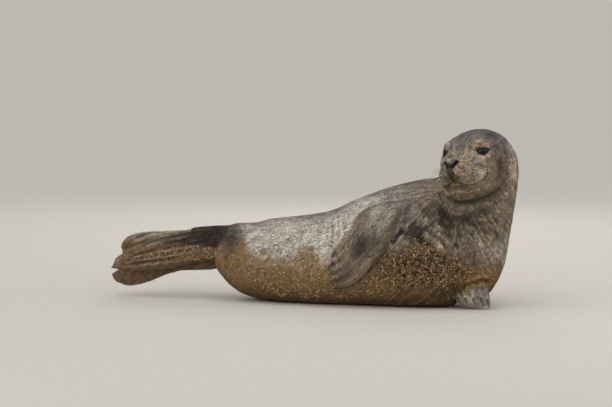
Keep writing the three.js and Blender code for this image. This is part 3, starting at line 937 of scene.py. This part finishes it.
def bare_skin(points, tree):
    """How bare the skin is at each vertex: in the nostrils and the mouth, and round the eyes."""
    bare = np.zeros(len(points))
    for path, width, _, bareness in head_paths(tree):
        distance, _ = off_path(points, path)
        bare = np.maximum(bare, bareness * smooth(width * 1.25, width * 0.7, distance))
    for side in (1, -1):
        centre, look, aside, up = eye_axes(side)
        off = points - centre
        reach = np.linalg.norm(off, axis=1)
        ahead = off @ look
        across = np.degrees(np.arctan2(off @ aside, ahead))
        height = np.degrees(np.arcsin(np.clip(off @ up / np.maximum(reach, 1e-6), -1, 1)))
        inside = inside_lids(across, height)
        corner = smooth(-13, -7, inside) * (np.abs(across - LIDS["middle"][0]) > LIDS["half_width"])
        rim = np.maximum(smooth(-9, -3, inside), corner) * (reach < 34) * (ahead > -2)
        bare = np.maximum(bare, rim)
    return bare


def paint(points, plain, edges, normals, regions, streak, tree, colours):
    """The colour, the mottling and the sand of the coat at each vertex of the skin."""
    shade = {key: np.array(getattr(colours, key)[:]) for key in SealColours.__annotations__}
    wobble = vary(points, 55, 1) * 0.8 + vary(points, 18, 2) * 0.7
    flat = plain[:, [0, 2]]
    near_side = smooth(-0.15, 0.3, 0.45 * smooth(430, 540, points[:, 0]) - normals[:, 1])
    height = points[:, 2]
    local = to_head(plain)
    on = {region: relaxed((regions == region).astype(float), edges, 10) for region in range(6)}
    hind, fore, face = on[5], on[4], relaxed((regions == HEAD).astype(float), edges, 30)

    tint = np.tile(shade["flank"], (len(points), 1))

    def lay(name, weight):
        nonlocal tint
        weight = np.clip(weight, 0, 1)[:, None]
        tint = tint * (1 - weight) + shade[name] * weight

    # Body: grey above, pale on the flanks, brown on the neck and golden with sand below, with painted rim
    # light on the neck's edge and painted shade along the bottom.
    lay("back", smooth(0.25, 0.85, normals @ np.array((0.0, 0.6, 0.8)) + wobble * 0.14))
    lay("back", 0.6 * smooth(0.2, 0.8, normals[:, 1]))
    lay("brown", 0.8 * smooth(150, 330, points[:, 0] + wobble * 20) * near_side)
    lay("brown", 0.6 * smooth(250, 420, points[:, 0] + wobble * 20))
    # The edge of the neck and the chest facing +X is paler: partly pale hairs, partly painted rim light.
    rim = (on[2] + on[1]) * smooth(0.1, 0.7, normals[:, 0]) * smooth(60, 180, height)
    lay("pale", 0.85 * rim)
    lay("flank", 0.6 * rim)
    rump = 34 * smooth(-60, -200, points[:, 0])
    low = smooth(158, 84, height - rump + wobble * 16) * (1 - hind)
    lay("sandy", low * 0.9)
    # Darker towards the floor: painted shade along the bottom of the body, in the dark golden-brown.
    lay("umber", 0.72 * smooth(84, 6, height + wobble * 10))

    # Flippers: brown-grey, the hind ones nearly black above and sandy below.
    lay("brown", 0.85 * np.maximum(fore, hind))
    lay("umber", 0.55 * hind)
    split = height - np.interp(points[:, 0], (-590, -215), (178, 137))
    lay("dark", hind * 0.95 * smooth(-4, 14, split + wobble * 5) * smooth(-440, -350, points[:, 0]))
    lay("mottle", hind * 0.6 * smooth(-4, 14, split + wobble * 5) * smooth(-350, -440, points[:, 0]))
    lay("pale", hind * 0.6 * smooth(150, 185, points[:, 1]) * smooth(150, 175, height))
    band = hind * near_side * patch(flat, (-330, 132), (120, 20), 6, wobble)
    lay("sandy", np.maximum(0.3 * band, hind * 0.3 * smooth(4, -16, split + wobble * 5)))

    for name, centre, size, turn, strength, where in NEAR_PATCHES:
        weight = sum(on[region] for region in where)
        lay(name, strength * near_side * weight * patch(flat, centre, size, turn, wobble))
    crust = np.zeros(len(points))
    for centre, size, turn, strength in CRUSTS:
        crust = np.maximum(crust, strength * near_side * patch(flat, centre, size, turn, wobble * 1.4))
    crust *= on[0] + on[1]
    lay("sandy", 0.7 * crust)
    lay("umber", crust * smooth(80, 180, points[:, 0]))
    lay("dark", crust * 0.5 * smooth(-0.1, 0.5, vary(points, 9, 8)))
    crust = np.maximum(crust, 0.6 * band)
    sand = np.maximum(crust * 0.45, low * 0.48)

    # Head: a pale mask under a blue-grey crown, with red-brown cheeks and a tan lip.
    forwards, aside, up = local.T
    lay("brown", face * 0.9)
    lay("pale", face * 0.5 * smooth(60, 110, forwards + wobble * 10))
    lay("crown", face * 0.85 * smooth(16, 60, up + 0.3 * (60 - forwards) + wobble * 14))
    for name, centre, size, strength in HEAD_SPOTS:
        off = (np.stack([forwards, np.abs(aside), up], 1) - centre) / size
        lay(name, face * strength * smooth(1.3, 0.45, np.linalg.norm(off, axis=1) + wobble * 0.3))
    for name, path, reach, strength, sides in HEAD_BANDS:
        for side in sides:
            distance, _ = off_path(plain, laid_on(tree, path, side))
            lay(name, strength * np.minimum(1, 2 * face) * smooth(reach * 1.2, reach * 0.5, distance))

    # Painted shade darkens the hollows and painted highlight lightens the ridges; hair of the neck is
    # streaked.
    hollow_for_painted_light = hollow_of(points, normals, edges, 20)
    hollow_for_painted_light -= relaxed(hollow_for_painted_light, edges, 44)
    # The painted shade is weaker on the fore flippers and where the arm meets the shoulder.
    hollow_for_painted_light *= (1 - 0.6 * fore) * (1 - 0.8 * patch(flat, *ARM_TOP, 0))
    lay("umber", 0.6 * smooth(0.2, 1.8, hollow_for_painted_light))
    lay("dark", 0.4 * smooth(0.8, 2.4, hollow_for_painted_light))
    lay("pale", 0.3 * smooth(0.3, 1.6, -hollow_for_painted_light) * (1 - face) * (1 - on[2]))
    tint *= (1 + streak * relaxed(LIVELY[regions], edges, 8))[:, None]
    mottle = relaxed(MOTTLING[regions], edges, 10) * (1 - 0.3 * low)
    bare = bare_skin(plain, tree)
    lay("bare", bare)
    return tint, mottle * (1 - bare), sand * (1 - bare), crust


# ---- The unwrap that the baked colours lie on -------------------------------------------------------------


# The cell of each region: left, bottom, width and height.
CELLS = {
    0: (0, 0, 0.5, 0.5),
    1: (0.5, 0, 0.5, 0.5),
    2: (0, 0.5, 0.3, 0.3),
    3: (0.3, 0.5, 0.35, 0.35),
    4: (0.65, 0.5, 0.35, 0.25),
    5: (0, 0.8, 0.5, 0.2),
}
CELL_MARGIN = 0.01
# Regions that are spread out from a pole: the centre of each, and the way to its pole.
BALLS = {
    1: ((300, -25, 110), (0, -0.5, 0.87)),
    2: ((445, -60, 290), (0, -1, 0)),
    3: (tuple(from_head((60, 0, -20))[0]), tuple(head_turn[:, 0])),
}
TRUNK_AXIS = ((-260, 220), (135, 10), 122)  # X of the two ends, their Y, and the height of both
TRUNK_RADIUS = 140
SHEET_SHIFT = 280  # from the near face of a flipper to its far face
FLIPPER_SHIFT = 560  # from the right flipper to the left one
LEFT_HIND_FROM = 165  # Y beyond which a hind flipper is the left one
LEFT_FORE_FROM = 350  # X beyond which a fore flipper is the left one


def spread_from_pole(points, centre, pole):
    """Points round a centre as a flat disc: its middle is the pole."""
    pole = np.array(pole) / np.linalg.norm(pole)
    side = np.cross(pole, (0.3, 0.1, 1))
    side /= np.linalg.norm(side)
    rise = np.cross(side, pole)
    off = points - centre
    off /= np.linalg.norm(off, axis=1)[:, None]
    angle = np.arccos(np.clip(off @ pole, -1, 1))
    around = np.arctan2(off @ rise, off @ side)
    return angle[:, None] * np.stack([np.cos(around), np.sin(around)], 1)


def unwrap(points, normals, regions):
    """A place on the unwrapped skin for each vertex: each region is rolled out in a cell of its own."""
    place = np.zeros((len(points), 2))
    for region, (left, bottom, wide, high) in CELLS.items():
        at = regions == region
        if not at.any():
            continue
        here = points[at]
        if region == 0:
            ends, sides, height = TRUNK_AXIS
            around = np.arctan2(here[:, 2] - height, here[:, 1] - np.interp(here[:, 0], ends, sides))
            flat = np.stack([here[:, 0], around * TRUNK_RADIUS], 1)
        elif region in BALLS:
            flat = spread_from_pole(here, *BALLS[region])
        else:
            shift = np.where(normals[at][:, 1] < 0, 0, SHEET_SHIFT)
            left_one = here[:, 1] > LEFT_HIND_FROM if region in HIND else here[:, 0] > LEFT_FORE_FROM
            flat = np.stack([here[:, 0], here[:, 2] + shift + left_one * FLIPPER_SHIFT], 1)
        low = flat.min(0)
        size = np.maximum(flat.max(0) - low, 1e-6)
        cell = np.array((wide, high)) - 2 * CELL_MARGIN
        place[at] = (flat - low) / size * cell + np.array((left, bottom)) + CELL_MARGIN
    return place


def write_unwrap(mesh, place):
    """Writes the unwrap as the map that the bake reads."""
    layer = mesh.uv_layers.new(name="OFBake")
    corners = np.empty(len(mesh.loops), np.int32)
    mesh.loops.foreach_get("vertex_index", corners)
    layer.data.foreach_set("uv", place[corners].astype(np.float32).ravel())


class SEAL_OT_skin(bpy.types.Operator):
    """Makes one skin over all of the flesh, with its lids, folds and markings"""

    bl_idname = "seal.skin"
    bl_label = "Skin"

    def execute(self, context):
        sizes = context.scene.seal_sizes
        colours = context.scene.seal_colours
        grain = sizes.grain * 1
        mesh = voxel_skin(grain)
        points, edges = points_of(mesh), edges_of(mesh)
        regions = regions_at(points)
        round_tip(mesh, evened(points, edges, regions))
        refine(mesh, from_head((120, 0, -20))[0], 92)
        for side in (1, -1):
            refine(mesh, from_head((EYE_FORWARD + 15, side * (EYE_ASIDE + 10), EYE_UP + 3))[0], 30)
        points, edges = points_of(mesh), edges_of(mesh)
        regions = regions_at(points)
        points = relaxed(points, edges, 6, 0.5, 0.52, relaxed((regions <= HEAD).astype(float), edges, 2))
        place_points(mesh, points)
        normals = normals_of(mesh)
        tree = tree_of(mesh)
        inset = np.where(regions < HEAD, sizes.depth, sizes.face_depth) / MM
        points -= normals * relaxed(inset, edges, 10)[:, None]
        plain = points.copy()
        points = sculpt_body(points, normals, regions, edges)
        points = sculpt_head(points, normals, tree)
        for side in (1, -1):
            points = form_lids(points, side)
        place_points(mesh, points)
        normals = normals_of(mesh)
        start = int(np.argmin(np.linalg.norm(to_head(points) - (180, 0, -6), axis=1)))
        flow = lie_of_coat(points, edges, normals, start)
        streak = streaks(points, flow, 6, 5)
        points += normals * (streak * relaxed(RUFFLE[regions], edges, 8))[:, None]
        points[:, 2] = np.maximum(points[:, 2], SKIN_FLOOR)
        place_points(mesh, points)
        normals = normals_of(mesh)
        tint, mottle, sand, crust = paint(points, plain, edges, normals, regions, streak, tree, colours)
        add_attribute(mesh, "flow", "FLOAT_VECTOR", flow, "vector")
        add_attribute(mesh, "region", "FLOAT", regions)
        add_attribute(mesh, "tint", "FLOAT_COLOR", np.hstack([tint, np.ones((len(tint), 1))]), "color")
        add_attribute(mesh, "mottle", "FLOAT", mottle)
        add_attribute(mesh, "sand", "FLOAT", sand)
        add_attribute(mesh, "crust", "FLOAT", crust)
        add_attribute(mesh, "strand", "FLOAT", np.full(len(points), STRAND_OF_SKIN))
        write_unwrap(mesh, unwrap(points, normals, regions))
        mesh.shade_smooth()
        # The felt of hair roots under the tufts: duller than the tips, with the lie of the hair in relief.
        mesh.materials.append(fur_material("short_fur_underlayer", colours, roughness=0.8, bump_height=1.2))
        new_piece(SKIN, mesh, "coat", *FLESH)
        return {"FINISHED"}


# ---- Coat -------------------------------------------------------------------------------------------------

TUFT_SIDES = 3
# Pieces of the coat: region, reach along X, share of the tufts, and half a tuft's width.
COATS = {
    "coat_rump": (0, (-700, -40), 1.0, (0.55, 1.0)),
    "coat_trunk": (0, (-40, 700), 1.0, (0.55, 1.0)),
    "coat_chest": (1, (-700, 700), 1.0, (0.6, 1.15)),
    "coat_neck": (2, (-700, 700), 0.75, (0.6, 1.2)),
    "coat_head": (3, (-700, 700), 1.0, (0.3, 0.55)),
    "coat_fore_flippers": (4, (-700, 700), 0.6, (0.4, 0.75)),
    "coat_hind_flippers": (5, (-700, 700), 0.8, (0.4, 0.75)),
}
BAKE_PATCH = 0.003


def tuft_shape():
    """One tuft: a cone of three sides from z = 0 to its tip at z = 1."""
    work = bmesh.new()
    bmesh.ops.create_cone(work, cap_ends=True, segments=TUFT_SIDES, radius1=1, radius2=0, depth=1)
    bmesh.ops.remove_doubles(work, verts=work.verts, dist=1e-4)
    bmesh.ops.translate(work, verts=work.verts, vec=(0, 0, 0.5))
    return shape_of(work)


def grow_tufts(skin, region, reach, count, sizes, random):
    """Roots, directions and sizes of the tufts of one piece of the coat, spread evenly over the skin."""
    points, normals = points_of(skin), normals_of(skin)
    regions = read_attribute(skin, "region")
    triangles = triangles_of(skin)
    first = points[triangles[:, 0], 0]
    triangles = triangles[(regions[triangles[:, 0]] == region) & (first >= reach[0]) & (first < reach[1])]
    a, b, c = (points[triangles[:, i]] for i in range(3))
    area = np.linalg.norm(np.cross(b - a, c - a), axis=1)
    chosen = random.choice(len(triangles), count, p=area / area.sum())
    share = np.sqrt(random.random(count))
    other = random.random(count)
    weights = np.stack([1 - share, share * (1 - other), share * other], 1)
    corners = triangles[chosen]

    def at(values):
        return np.einsum("ij,ij...->i...", weights, values[corners])

    length = {0: sizes.hair_body, 1: sizes.hair_neck, 2: sizes.hair_neck, 3: sizes.hair_face}.get(
        region, sizes.hair_flipper
    ) / MM
    sand = at(read_attribute(skin, "sand"))
    return {
        "root": at(points),
        "normal": at(normals),
        "flow": at(read_attribute(skin, "flow", 3, "vector")),
        "tint": at(read_attribute(skin, "tint", 4, "color")),
        "mottle": at(read_attribute(skin, "mottle")),
        "sand": sand,
        "corner": corners[:, 0],
        "length": length * random.uniform(0.6, 1.2, count) * (1 - 0.45 * sand),
        "strand": random.random(count),
    }


def coat_mesh(name, tufts, widths, tree, unwrapped, random):
    """One mesh of all the tufts of a piece of the coat, each lying along the skin towards its tip."""
    count = len(tufts["root"])
    normal = tufts["normal"] / np.linalg.norm(tufts["normal"], axis=1)[:, None]
    across = np.cross(normal, tufts["flow"])
    across /= np.maximum(np.linalg.norm(across, axis=1), 1e-9)[:, None]
    forward = np.cross(across, normal)
    sway = random.normal(0, 1, count) * (0.16 + 0.6 * tufts["sand"])
    forward = forward + across * sway[:, None]
    aim = tufts["root"] + forward * tufts["length"][:, None]
    tip = np.empty_like(aim)
    lift = 0.3 + tufts["length"] * random.uniform(0.02, 0.1, count) * (1 + tufts["sand"])
    for i, place in enumerate((aim * MM).tolist()):
        found, facing, _, _ = tree.find_nearest(place)
        tip[i] = np.array(found) / MM + np.array(facing) * lift[i]
    axis = tip - tufts["root"]
    across = np.cross(normal, axis)
    across /= np.maximum(np.linalg.norm(across, axis=1), 1e-9)[:, None]
    width = random.uniform(*widths, count)
    corners, faces = tuft_shape()
    base = tufts["root"] - normal * 0.25
    places = (
        base[:, None]
        + corners[None, :, :1] * (across * width[:, None])[:, None]
        + corners[None, :, 1:2] * (normal * 0.5)[:, None]
        + corners[None, :, 2:] * (tip - base)[:, None]
    )
    places[:, :, 2] = np.maximum(places[:, :, 2], COAT_FLOOR)
    mesh = repeated(name, places, faces)
    each = len(corners)
    for key in ("mottle", "sand"):
        add_attribute(mesh, key, "FLOAT", np.repeat(tufts[key], each))
    shade = tufts["strand"][:, None] * 0.7 + corners[None, :, 2] * 0.3
    add_attribute(mesh, "strand", "FLOAT", shade)
    add_attribute(mesh, "tint", "FLOAT_COLOR", np.repeat(tufts["tint"], each, axis=0), "color")
    spot = corners[:, [0, 2]] * (0.5, 1) * BAKE_PATCH
    place = (unwrapped[tufts["corner"]][:, None] + spot[None]).reshape(-1, 2)
    write_unwrap(mesh, place)
    mesh.validate()
    return mesh


def unwrap_of(mesh):
    """The unwrap of a mesh, one place for each vertex."""
    corners = np.empty(len(mesh.loops), np.int32)
    mesh.loops.foreach_get("vertex_index", corners)
    values = np.empty(len(mesh.loops) * 2, np.float32)
    mesh.uv_layers["OFBake"].data.foreach_get("uv", values)
    place = np.zeros((len(mesh.vertices), 2))
    place[corners] = values.reshape(-1, 2)
    return place


class SEAL_OT_coat(bpy.types.Operator):
    """Grows the coat over the skin, in tufts that lie away from the nose"""

    bl_idname = "seal.coat"
    bl_label = "Coat"

    def execute(self, context):
        sizes = context.scene.seal_sizes
        skin = bpy.data.objects[SKIN].data
        tree = tree_of(skin)
        unwrapped = unwrap_of(skin)
        # The dry tips of the hair: a little smoother than the felt under them, and their relief is real.
        material = fur_material("short_fur", context.scene.seal_colours, roughness=0.75, bump_height=0)
        for number, (name, (region, reach, share, widths)) in enumerate(COATS.items()):
            random = np.random.default_rng(40 + number)
            count = int(sizes.tufts * share * (1))
            tufts = grow_tufts(skin, region, reach, count, sizes, random)
            mesh = coat_mesh(name, tufts, widths, tree, unwrapped, random)
            mesh.materials.append(material)
            new_piece(name, mesh, "flipper_coat" if region > HEAD else "coat")
        return {"FINISHED"}


# ---- Eyes -------------------------------------------------------------------------------------------------


def tube_mesh(name, paths, radii, closed=False, sides=1):
    """Round rods along paths in millimetres, each with a radius at every point."""
    curve = bpy.data.curves.new(name, "CURVE")
    curve.dimensions = "3D"
    curve.bevel_depth = MM
    curve.bevel_resolution = sides
    curve.use_fill_caps = not closed
    for path, radius in zip(paths, radii):
        spline = curve.splines.new("POLY")
        spline.points.add(len(path) - 1)
        spline.use_cyclic_u = closed
        for point, place, thick in zip(spline.points, np.array(path) * MM, radius):
            point.co = (*place, 1)
            point.radius = thick
    rod = bpy.data.objects.new(name, curve)
    bpy.context.scene.collection.objects.link(rod)
    mesh = finished_mesh(rod, name)
    bpy.data.curves.remove(curve)
    return mesh


def lid_margin(side, steps=48):
    """The edge of the lids around one eye, just over the eyeball."""
    centre, look, aside, up = eye_axes(side)
    middle_across, middle_height = LIDS["middle"]
    path = []
    for i in range(steps):
        turn = 2 * math.pi * i / steps
        share = math.cos(turn)
        round_off = max(1 - share**2, 0) ** LIDS["fullness"]
        rise = LIDS["above"] if math.sin(turn) >= 0 else -LIDS["below"]
        across = math.radians(middle_across + share * LIDS["half_width"])
        height = math.radians(middle_height + rise * round_off)
        direction = look * math.cos(across) * math.cos(height) + aside * math.sin(across) * math.cos(height)
        path.append(centre + (direction + up * math.sin(height)) * (EYE_RADIUS + 0.7))
    return path


class SEAL_OT_eyes(bpy.types.Operator):
    """Makes the eyeballs and the dark wet margins of the lids"""

    bl_idname = "seal.eyes"
    bl_label = "Eyes"

    def execute(self, context):
        colours = context.scene.seal_colours
        # A cornea, smooth under its film of tears, over a nearly black iris: one sharp light and no colour.
        wet = plain_material("wet_eye", colours.eye, roughness=0.06, ior=1.28)
        # Hairless skin, grown finely creased and kept moist by tears: black, with a soft shine.
        skin = plain_material("wet_lid_skin", colours.bare, roughness=0.4, ior=1.4, grain=1.5, depth=0.1)
        for side, name in ((1, "left"), (-1, "right")):
            centre = eye_axes(side)[0]
            work = bmesh.new()
            bmesh.ops.create_uvsphere(work, u_segments=40, v_segments=24, radius=EYE_RADIUS * MM)
            bmesh.ops.translate(work, verts=work.verts, vec=Vector(centre) * MM)
            mesh = bpy.data.meshes.new("eyeball_" + name)
            work.to_mesh(mesh)
            work.free()
            mesh.shade_smooth()
            mesh.materials.append(wet)
            new_piece("eyeball_" + name, mesh, "eye", "eye_" + name)
            path = lid_margin(side)
            mesh = tube_mesh("lid_margin_" + name, [path], [[1.15] * len(path)], True, 2)
            mesh.shade_smooth()
            mesh.materials.append(skin)
            new_piece("lid_margin_" + name, mesh, "eye")
        return {"FINISHED"}


# ---- Whiskers ---------------------------------------------------------------------------------------------

WHISKER_ROWS = 6
WHISKER_COLUMNS = 7
WHISKER_STEPS = 7
# The whisker pad's corners, in the head's frame: upper front, upper back, lower front and lower back.
PAD = np.array([[(165, 24, -20), (126, 61, -24)], [(160, 15, -54), (126, 57, -60)]], float)
BROW_HAIR = 30  # length of a hair over the eye
BROW_ROOTS = [(112, 50, 44), (106, 56, 47), (99, 61, 48), (110, 57, 43)]


def whisker_path(root, away, droop, reach):
    """A whisker from its root: straight out, then drooping more and more."""
    shares = np.linspace(0, 1, WHISKER_STEPS)
    return [root + away * reach * s + droop * reach * 0.45 * s**2 for s in shares]


class SEAL_OT_whiskers(bpy.types.Operator):
    """Sets rows of whiskers on the pads, and a few hairs over each eye"""

    bl_idname = "seal.whiskers"
    bl_label = "Whiskers"

    def execute(self, context):
        colours = context.scene.seal_colours
        longest = context.scene.seal_sizes.whisker / MM
        skin = bpy.data.objects[SKIN].data
        tree = tree_of(skin)
        random = np.random.default_rng(7)
        paths, radii, roots = [], [], []

        def add(place, reach, thick, away, droop):
            found, facing, _, _ = tree.find_nearest(Vector(from_head(place)[0]) * MM)
            root, facing = np.array(found) / MM, np.array(facing)
            away = head_turn @ np.array(away) + facing * 0.5
            away /= np.linalg.norm(away)
            paths.append(whisker_path(root - facing, away, head_turn @ np.array(droop), reach))
            radii.append(np.linspace(thick, thick * 0.2, WHISKER_STEPS))
            roots.append((root, facing))

        for side in (1, -1):
            for row in range(WHISKER_ROWS):
                for column in range(WHISKER_COLUMNS - (row in (0, 5))):
                    across, down = (column + 0.5 * (row % 2)) / WHISKER_COLUMNS, row / (WHISKER_ROWS - 1)
                    top, bottom = PAD[:, 0] * (1 - across) + PAD[:, 1] * across
                    place = top * (1 - down) + bottom * down + random.normal(0, 0.8, 3)
                    reach = longest * (0.35 + 0.65 * column / WHISKER_COLUMNS) * random.uniform(0.7, 1.05)
                    droop = (-0.5, 0.15 * side, -0.75 + 0.05 * random.normal())
                    add(place * (1, side, 1), reach, 0.34, (-0.25, 0.8 * side, -0.1), droop)
            for root in BROW_ROOTS:
                droop = (-0.7, 0.3 * side, 0.2)
                add(np.array(root) * (1, side, 1), BROW_HAIR, 0.26, (-0.1, 0.3 * side, 0.9), droop)
        mesh = tube_mesh("whiskers", paths, radii)
        mesh.shade_smooth()
        # Keratin, grown as a smooth bristle: pale, with a slight shine along it.
        horn = plain_material("whisker_horn", colours.whisker, roughness=0.35, ior=1.55, grain=3)
        mesh.materials.append(horn)
        new_piece("whiskers", mesh, "claw")
        work = bmesh.new()
        for root, facing in roots:
            turn = Vector(facing).to_track_quat("Z", "Y").to_matrix().to_4x4()
            spot = Matrix.Translation(Vector(root) * MM) @ turn @ Matrix.Diagonal((1, 1, 0.5, 1))
            radius = random.uniform(1.7, 2.5) * MM
            bmesh.ops.create_icosphere(work, subdivisions=1, radius=radius, matrix=spot)
        mesh = bpy.data.meshes.new("whisker_roots")
        work.to_mesh(mesh)
        work.free()
        mesh.shade_smooth()
        # Hairless skin, swollen round the root of each whisker: a dull black dot.
        dots = plain_material("bare_follicle_skin", colours.bare, roughness=0.5, ior=1.45, grain=1.5)
        mesh.materials.append(dots)
        new_piece("whisker_roots", mesh, "coat")
        return {"FINISHED"}


# ---- Claws ------------------------------------------------------------------------------------------------


class SEAL_OT_claws(bpy.types.Operator):
    """Rounds the claws of each flipper and gives them the look of worn horn"""

    bl_idname = "seal.claws"
    bl_label = "Claws"

    def execute(self, context):
        colours = context.scene.seal_colours
        # Claw horn, grown in layers and worn down by sand and rock: dark, with a dull polish.
        horn = plain_material(
            "worn_horn", colours.claw, roughness=0.42, ior=1.54, coat=0.1, grain=5, depth=0.15
        )
        for limb in ("fore_right", "fore_left", "hind_right", "hind_left"):
            nodes = [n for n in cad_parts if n.startswith("claw_" + limb)]
            work = bmesh.new()
            for node in nodes:
                grown_copy(work, node, 0.25)
            mesh = bpy.data.meshes.new("claws_" + limb)
            work.to_mesh(mesh)
            work.free()
            rough = bpy.data.objects.new("claws", mesh)
            bpy.context.scene.collection.objects.link(rough)
            rounder = rough.modifiers.new("round", "SUBSURF")
            rounder.levels = rounder.render_levels = 1
            mesh = finished_mesh(rough, "claws_" + limb)
            mesh.shade_smooth()
            mesh.materials.clear()
            mesh.materials.append(horn)
            new_piece("claws_" + limb, mesh, "claw", *nodes)
        return {"FINISHED"}


# ---- Sand -------------------------------------------------------------------------------------------------


MOST_CLUMPS = 4600


class SEAL_OT_sand(bpy.types.Operator):
    """Sticks clumps of sand to the flank"""

    bl_idname = "seal.sand"
    bl_label = "Sand"

    def execute(self, context):
        colours = context.scene.seal_colours
        skin = bpy.data.objects[SKIN].data
        points, normals = points_of(skin), normals_of(skin)
        crust = read_attribute(skin, "crust")
        random = np.random.default_rng(11)
        clumped = smooth(-0.3, 0.5, vary(points, 11, 9))
        chance = np.where(crust > 0.2, crust, 0) ** 1.5 * clumped
        count = min(MOST_CLUMPS, int((chance > 0).sum()))
        chosen = random.choice(len(points), count, p=chance / chance.sum(), replace=False)
        work = bmesh.new()
        bmesh.ops.create_icosphere(work, subdivisions=1, radius=1)
        corners, faces = shape_of(work)
        small = random.random(count) < 0.75
        fine = random.uniform(0.8, 1.5, count)
        coarse = random.uniform(1.5, 2.6, count)
        size = np.where(small, fine, coarse)
        middle = points[chosen] + normals[chosen] * (1.2 + 0.2 * size)[:, None]
        middle += random.normal(0, 0.8, (count, 3))
        turns = np.array([Euler(angles).to_matrix() for angles in random.uniform(0, 6.3, (count, 3))])
        lumps = corners[None] * (size[:, None] * random.uniform(0.7, 1.3, (count, 3)))[:, None]
        mesh = repeated("sand_clumps", middle[:, None] + np.einsum("nij,nkj->nki", turns, lumps), faces)
        mesh.shade_smooth()
        # Quartz sand, caked to the fur as it dried: matt, light on some clumps and dark on others.
        quartz = plain_material(
            "dry_beach_sand", colours.sand, roughness=0.9, grain=9, depth=0.8, contrast=0.65
        )
        mesh.materials.append(quartz)
        new_piece("sand_clumps", mesh, "coat")
        return {"FINISHED"}


# ---- Stage ------------------------------------------------------------------------------------------------

CAMERA_TARGET = tuple(head_at + (-494.6, 72, -125.5))
CAMERA_RISE = 5  # degrees above the horizon
CAMERA_AWAY = 9000
CAMERA_WIDTH = 2.8 * 612  # width that the picture shows at the target, at 2.8 mm to each of its 612 pixels
SENSOR = 36
FLOOR_RADIUS = 60000
# A wide soft sun: tilt towards the camera's side and to the left in degrees, strength, and width in degrees.
SKY = (-35, -20, 2.2, 100)
ROOM = ((0.86, 0.93, 1.0), 0.55)  # colour and strength of the light from all round
# Round soft panels: place, width and power.
LIGHTS = {
    "front_panel": ((-2300, -2500, 1500), 1800, 16),
    "side_panel": ((2600, -900, 1500), 1600, 22),
    "back_panel": ((300, 2600, 1800), 2200, 18),
}


class SEAL_OT_stage(bpy.types.Operator):
    """Sets up a plain pale floor, soft studio light and the camera"""

    bl_idname = "seal.stage"
    bl_label = "Stage"

    def execute(self, context):
        scene = context.scene
        colours = scene.seal_colours
        work = bmesh.new()
        bmesh.ops.create_circle(work, cap_ends=True, segments=96, radius=FLOOR_RADIUS * MM)
        mesh = bpy.data.meshes.new("floor")
        work.to_mesh(mesh)
        work.free()
        # Emulsion paint, rolled on a smooth board: matt, with hardly a change from place to place.
        board = plain_material(
            "matt_painted_floor", colours.floor, roughness=0.9, ior=1.45, grain=30, contrast=0.03
        )
        mesh.materials.append(board)
        floor = bpy.data.objects.new("floor", mesh)
        scene.collection.objects.link(floor)
        target = Vector(CAMERA_TARGET) * MM
        for name, (place, size, power) in LIGHTS.items():
            light = bpy.data.lights.new(name, "AREA")
            light.shape = "DISK"
            light.size = size * MM
            light.energy = power
            lamp = bpy.data.objects.new(name, light)
            lamp.location = Vector(place) * MM
            lamp.rotation_euler = (target - lamp.location).to_track_quat("-Z", "Y").to_euler()
            scene.collection.objects.link(lamp)
        tilt, lean, strength, softness = SKY
        sky = bpy.data.lights.new("sky", "SUN")
        sky.energy = strength
        sky.angle = math.radians(softness)
        lamp = bpy.data.objects.new("sky", sky)
        lamp.rotation_euler = (math.radians(-tilt), math.radians(lean), 0)
        scene.collection.objects.link(lamp)
        world = bpy.data.worlds.new("soft_studio")
        world.use_nodes = True
        background = world.node_tree.nodes["Background"]
        background.inputs["Color"].default_value = (*ROOM[0], 1)
        background.inputs["Strength"].default_value = ROOM[1]
        scene.world = world
        scene.view_settings.view_transform = "Standard"
        lens = bpy.data.cameras.new("camera")
        lens.sensor_width = SENSOR
        lens.lens = SENSOR * CAMERA_AWAY / CAMERA_WIDTH
        lens.clip_end = 200
        camera = bpy.data.objects.new("camera", lens)
        rise = math.radians(CAMERA_RISE)
        camera.location = target + Vector((0, -math.cos(rise), math.sin(rise))) * CAMERA_AWAY * MM
        camera.rotation_euler = (target - camera.location).to_track_quat("-Z", "Y").to_euler()
        scene.collection.objects.link(camera)
        scene.camera = camera
        return {"FINISHED"}


# ---- Panel and registration -------------------------------------------------------------------------------

OPERATORS = (
    SEAL_OT_stage, SEAL_OT_skin, SEAL_OT_coat, SEAL_OT_eyes, SEAL_OT_whiskers, SEAL_OT_claws, SEAL_OT_sand,
)


class SEAL_PT_panel(bpy.types.Panel):
    """Lists the pieces of the seal, its sizes and its colours"""

    bl_idname = "SEAL_PT_panel"
    bl_label = "Grey Seal"
    bl_space_type = "VIEW_3D"
    bl_region_type = "UI"
    bl_category = "Seal"

    def draw(self, context):
        for operator in OPERATORS:
            self.layout.operator(operator.bl_idname)
        for group in (context.scene.seal_sizes, context.scene.seal_colours):
            for key in group.__annotations__:
                self.layout.prop(group, key)


CLASSES = (SealSizes, SealColours, *OPERATORS, SEAL_PT_panel)


def register():
    for item in CLASSES:
        bpy.utils.register_class(item)
    bpy.types.Scene.seal_sizes = PointerProperty(type=SealSizes)
    bpy.types.Scene.seal_colours = PointerProperty(type=SealColours)


def unregister():
    del bpy.types.Scene.seal_colours
    del bpy.types.Scene.seal_sizes
    for item in reversed(CLASSES):
        bpy.utils.unregister_class(item)


def main():
    """Builds the seal and its stage."""
    register()
    for operator in OPERATORS:
        group, name = operator.bl_idname.split(".")
        getattr(getattr(bpy.ops, group), name)()


if __name__ == "__main__":
    main()
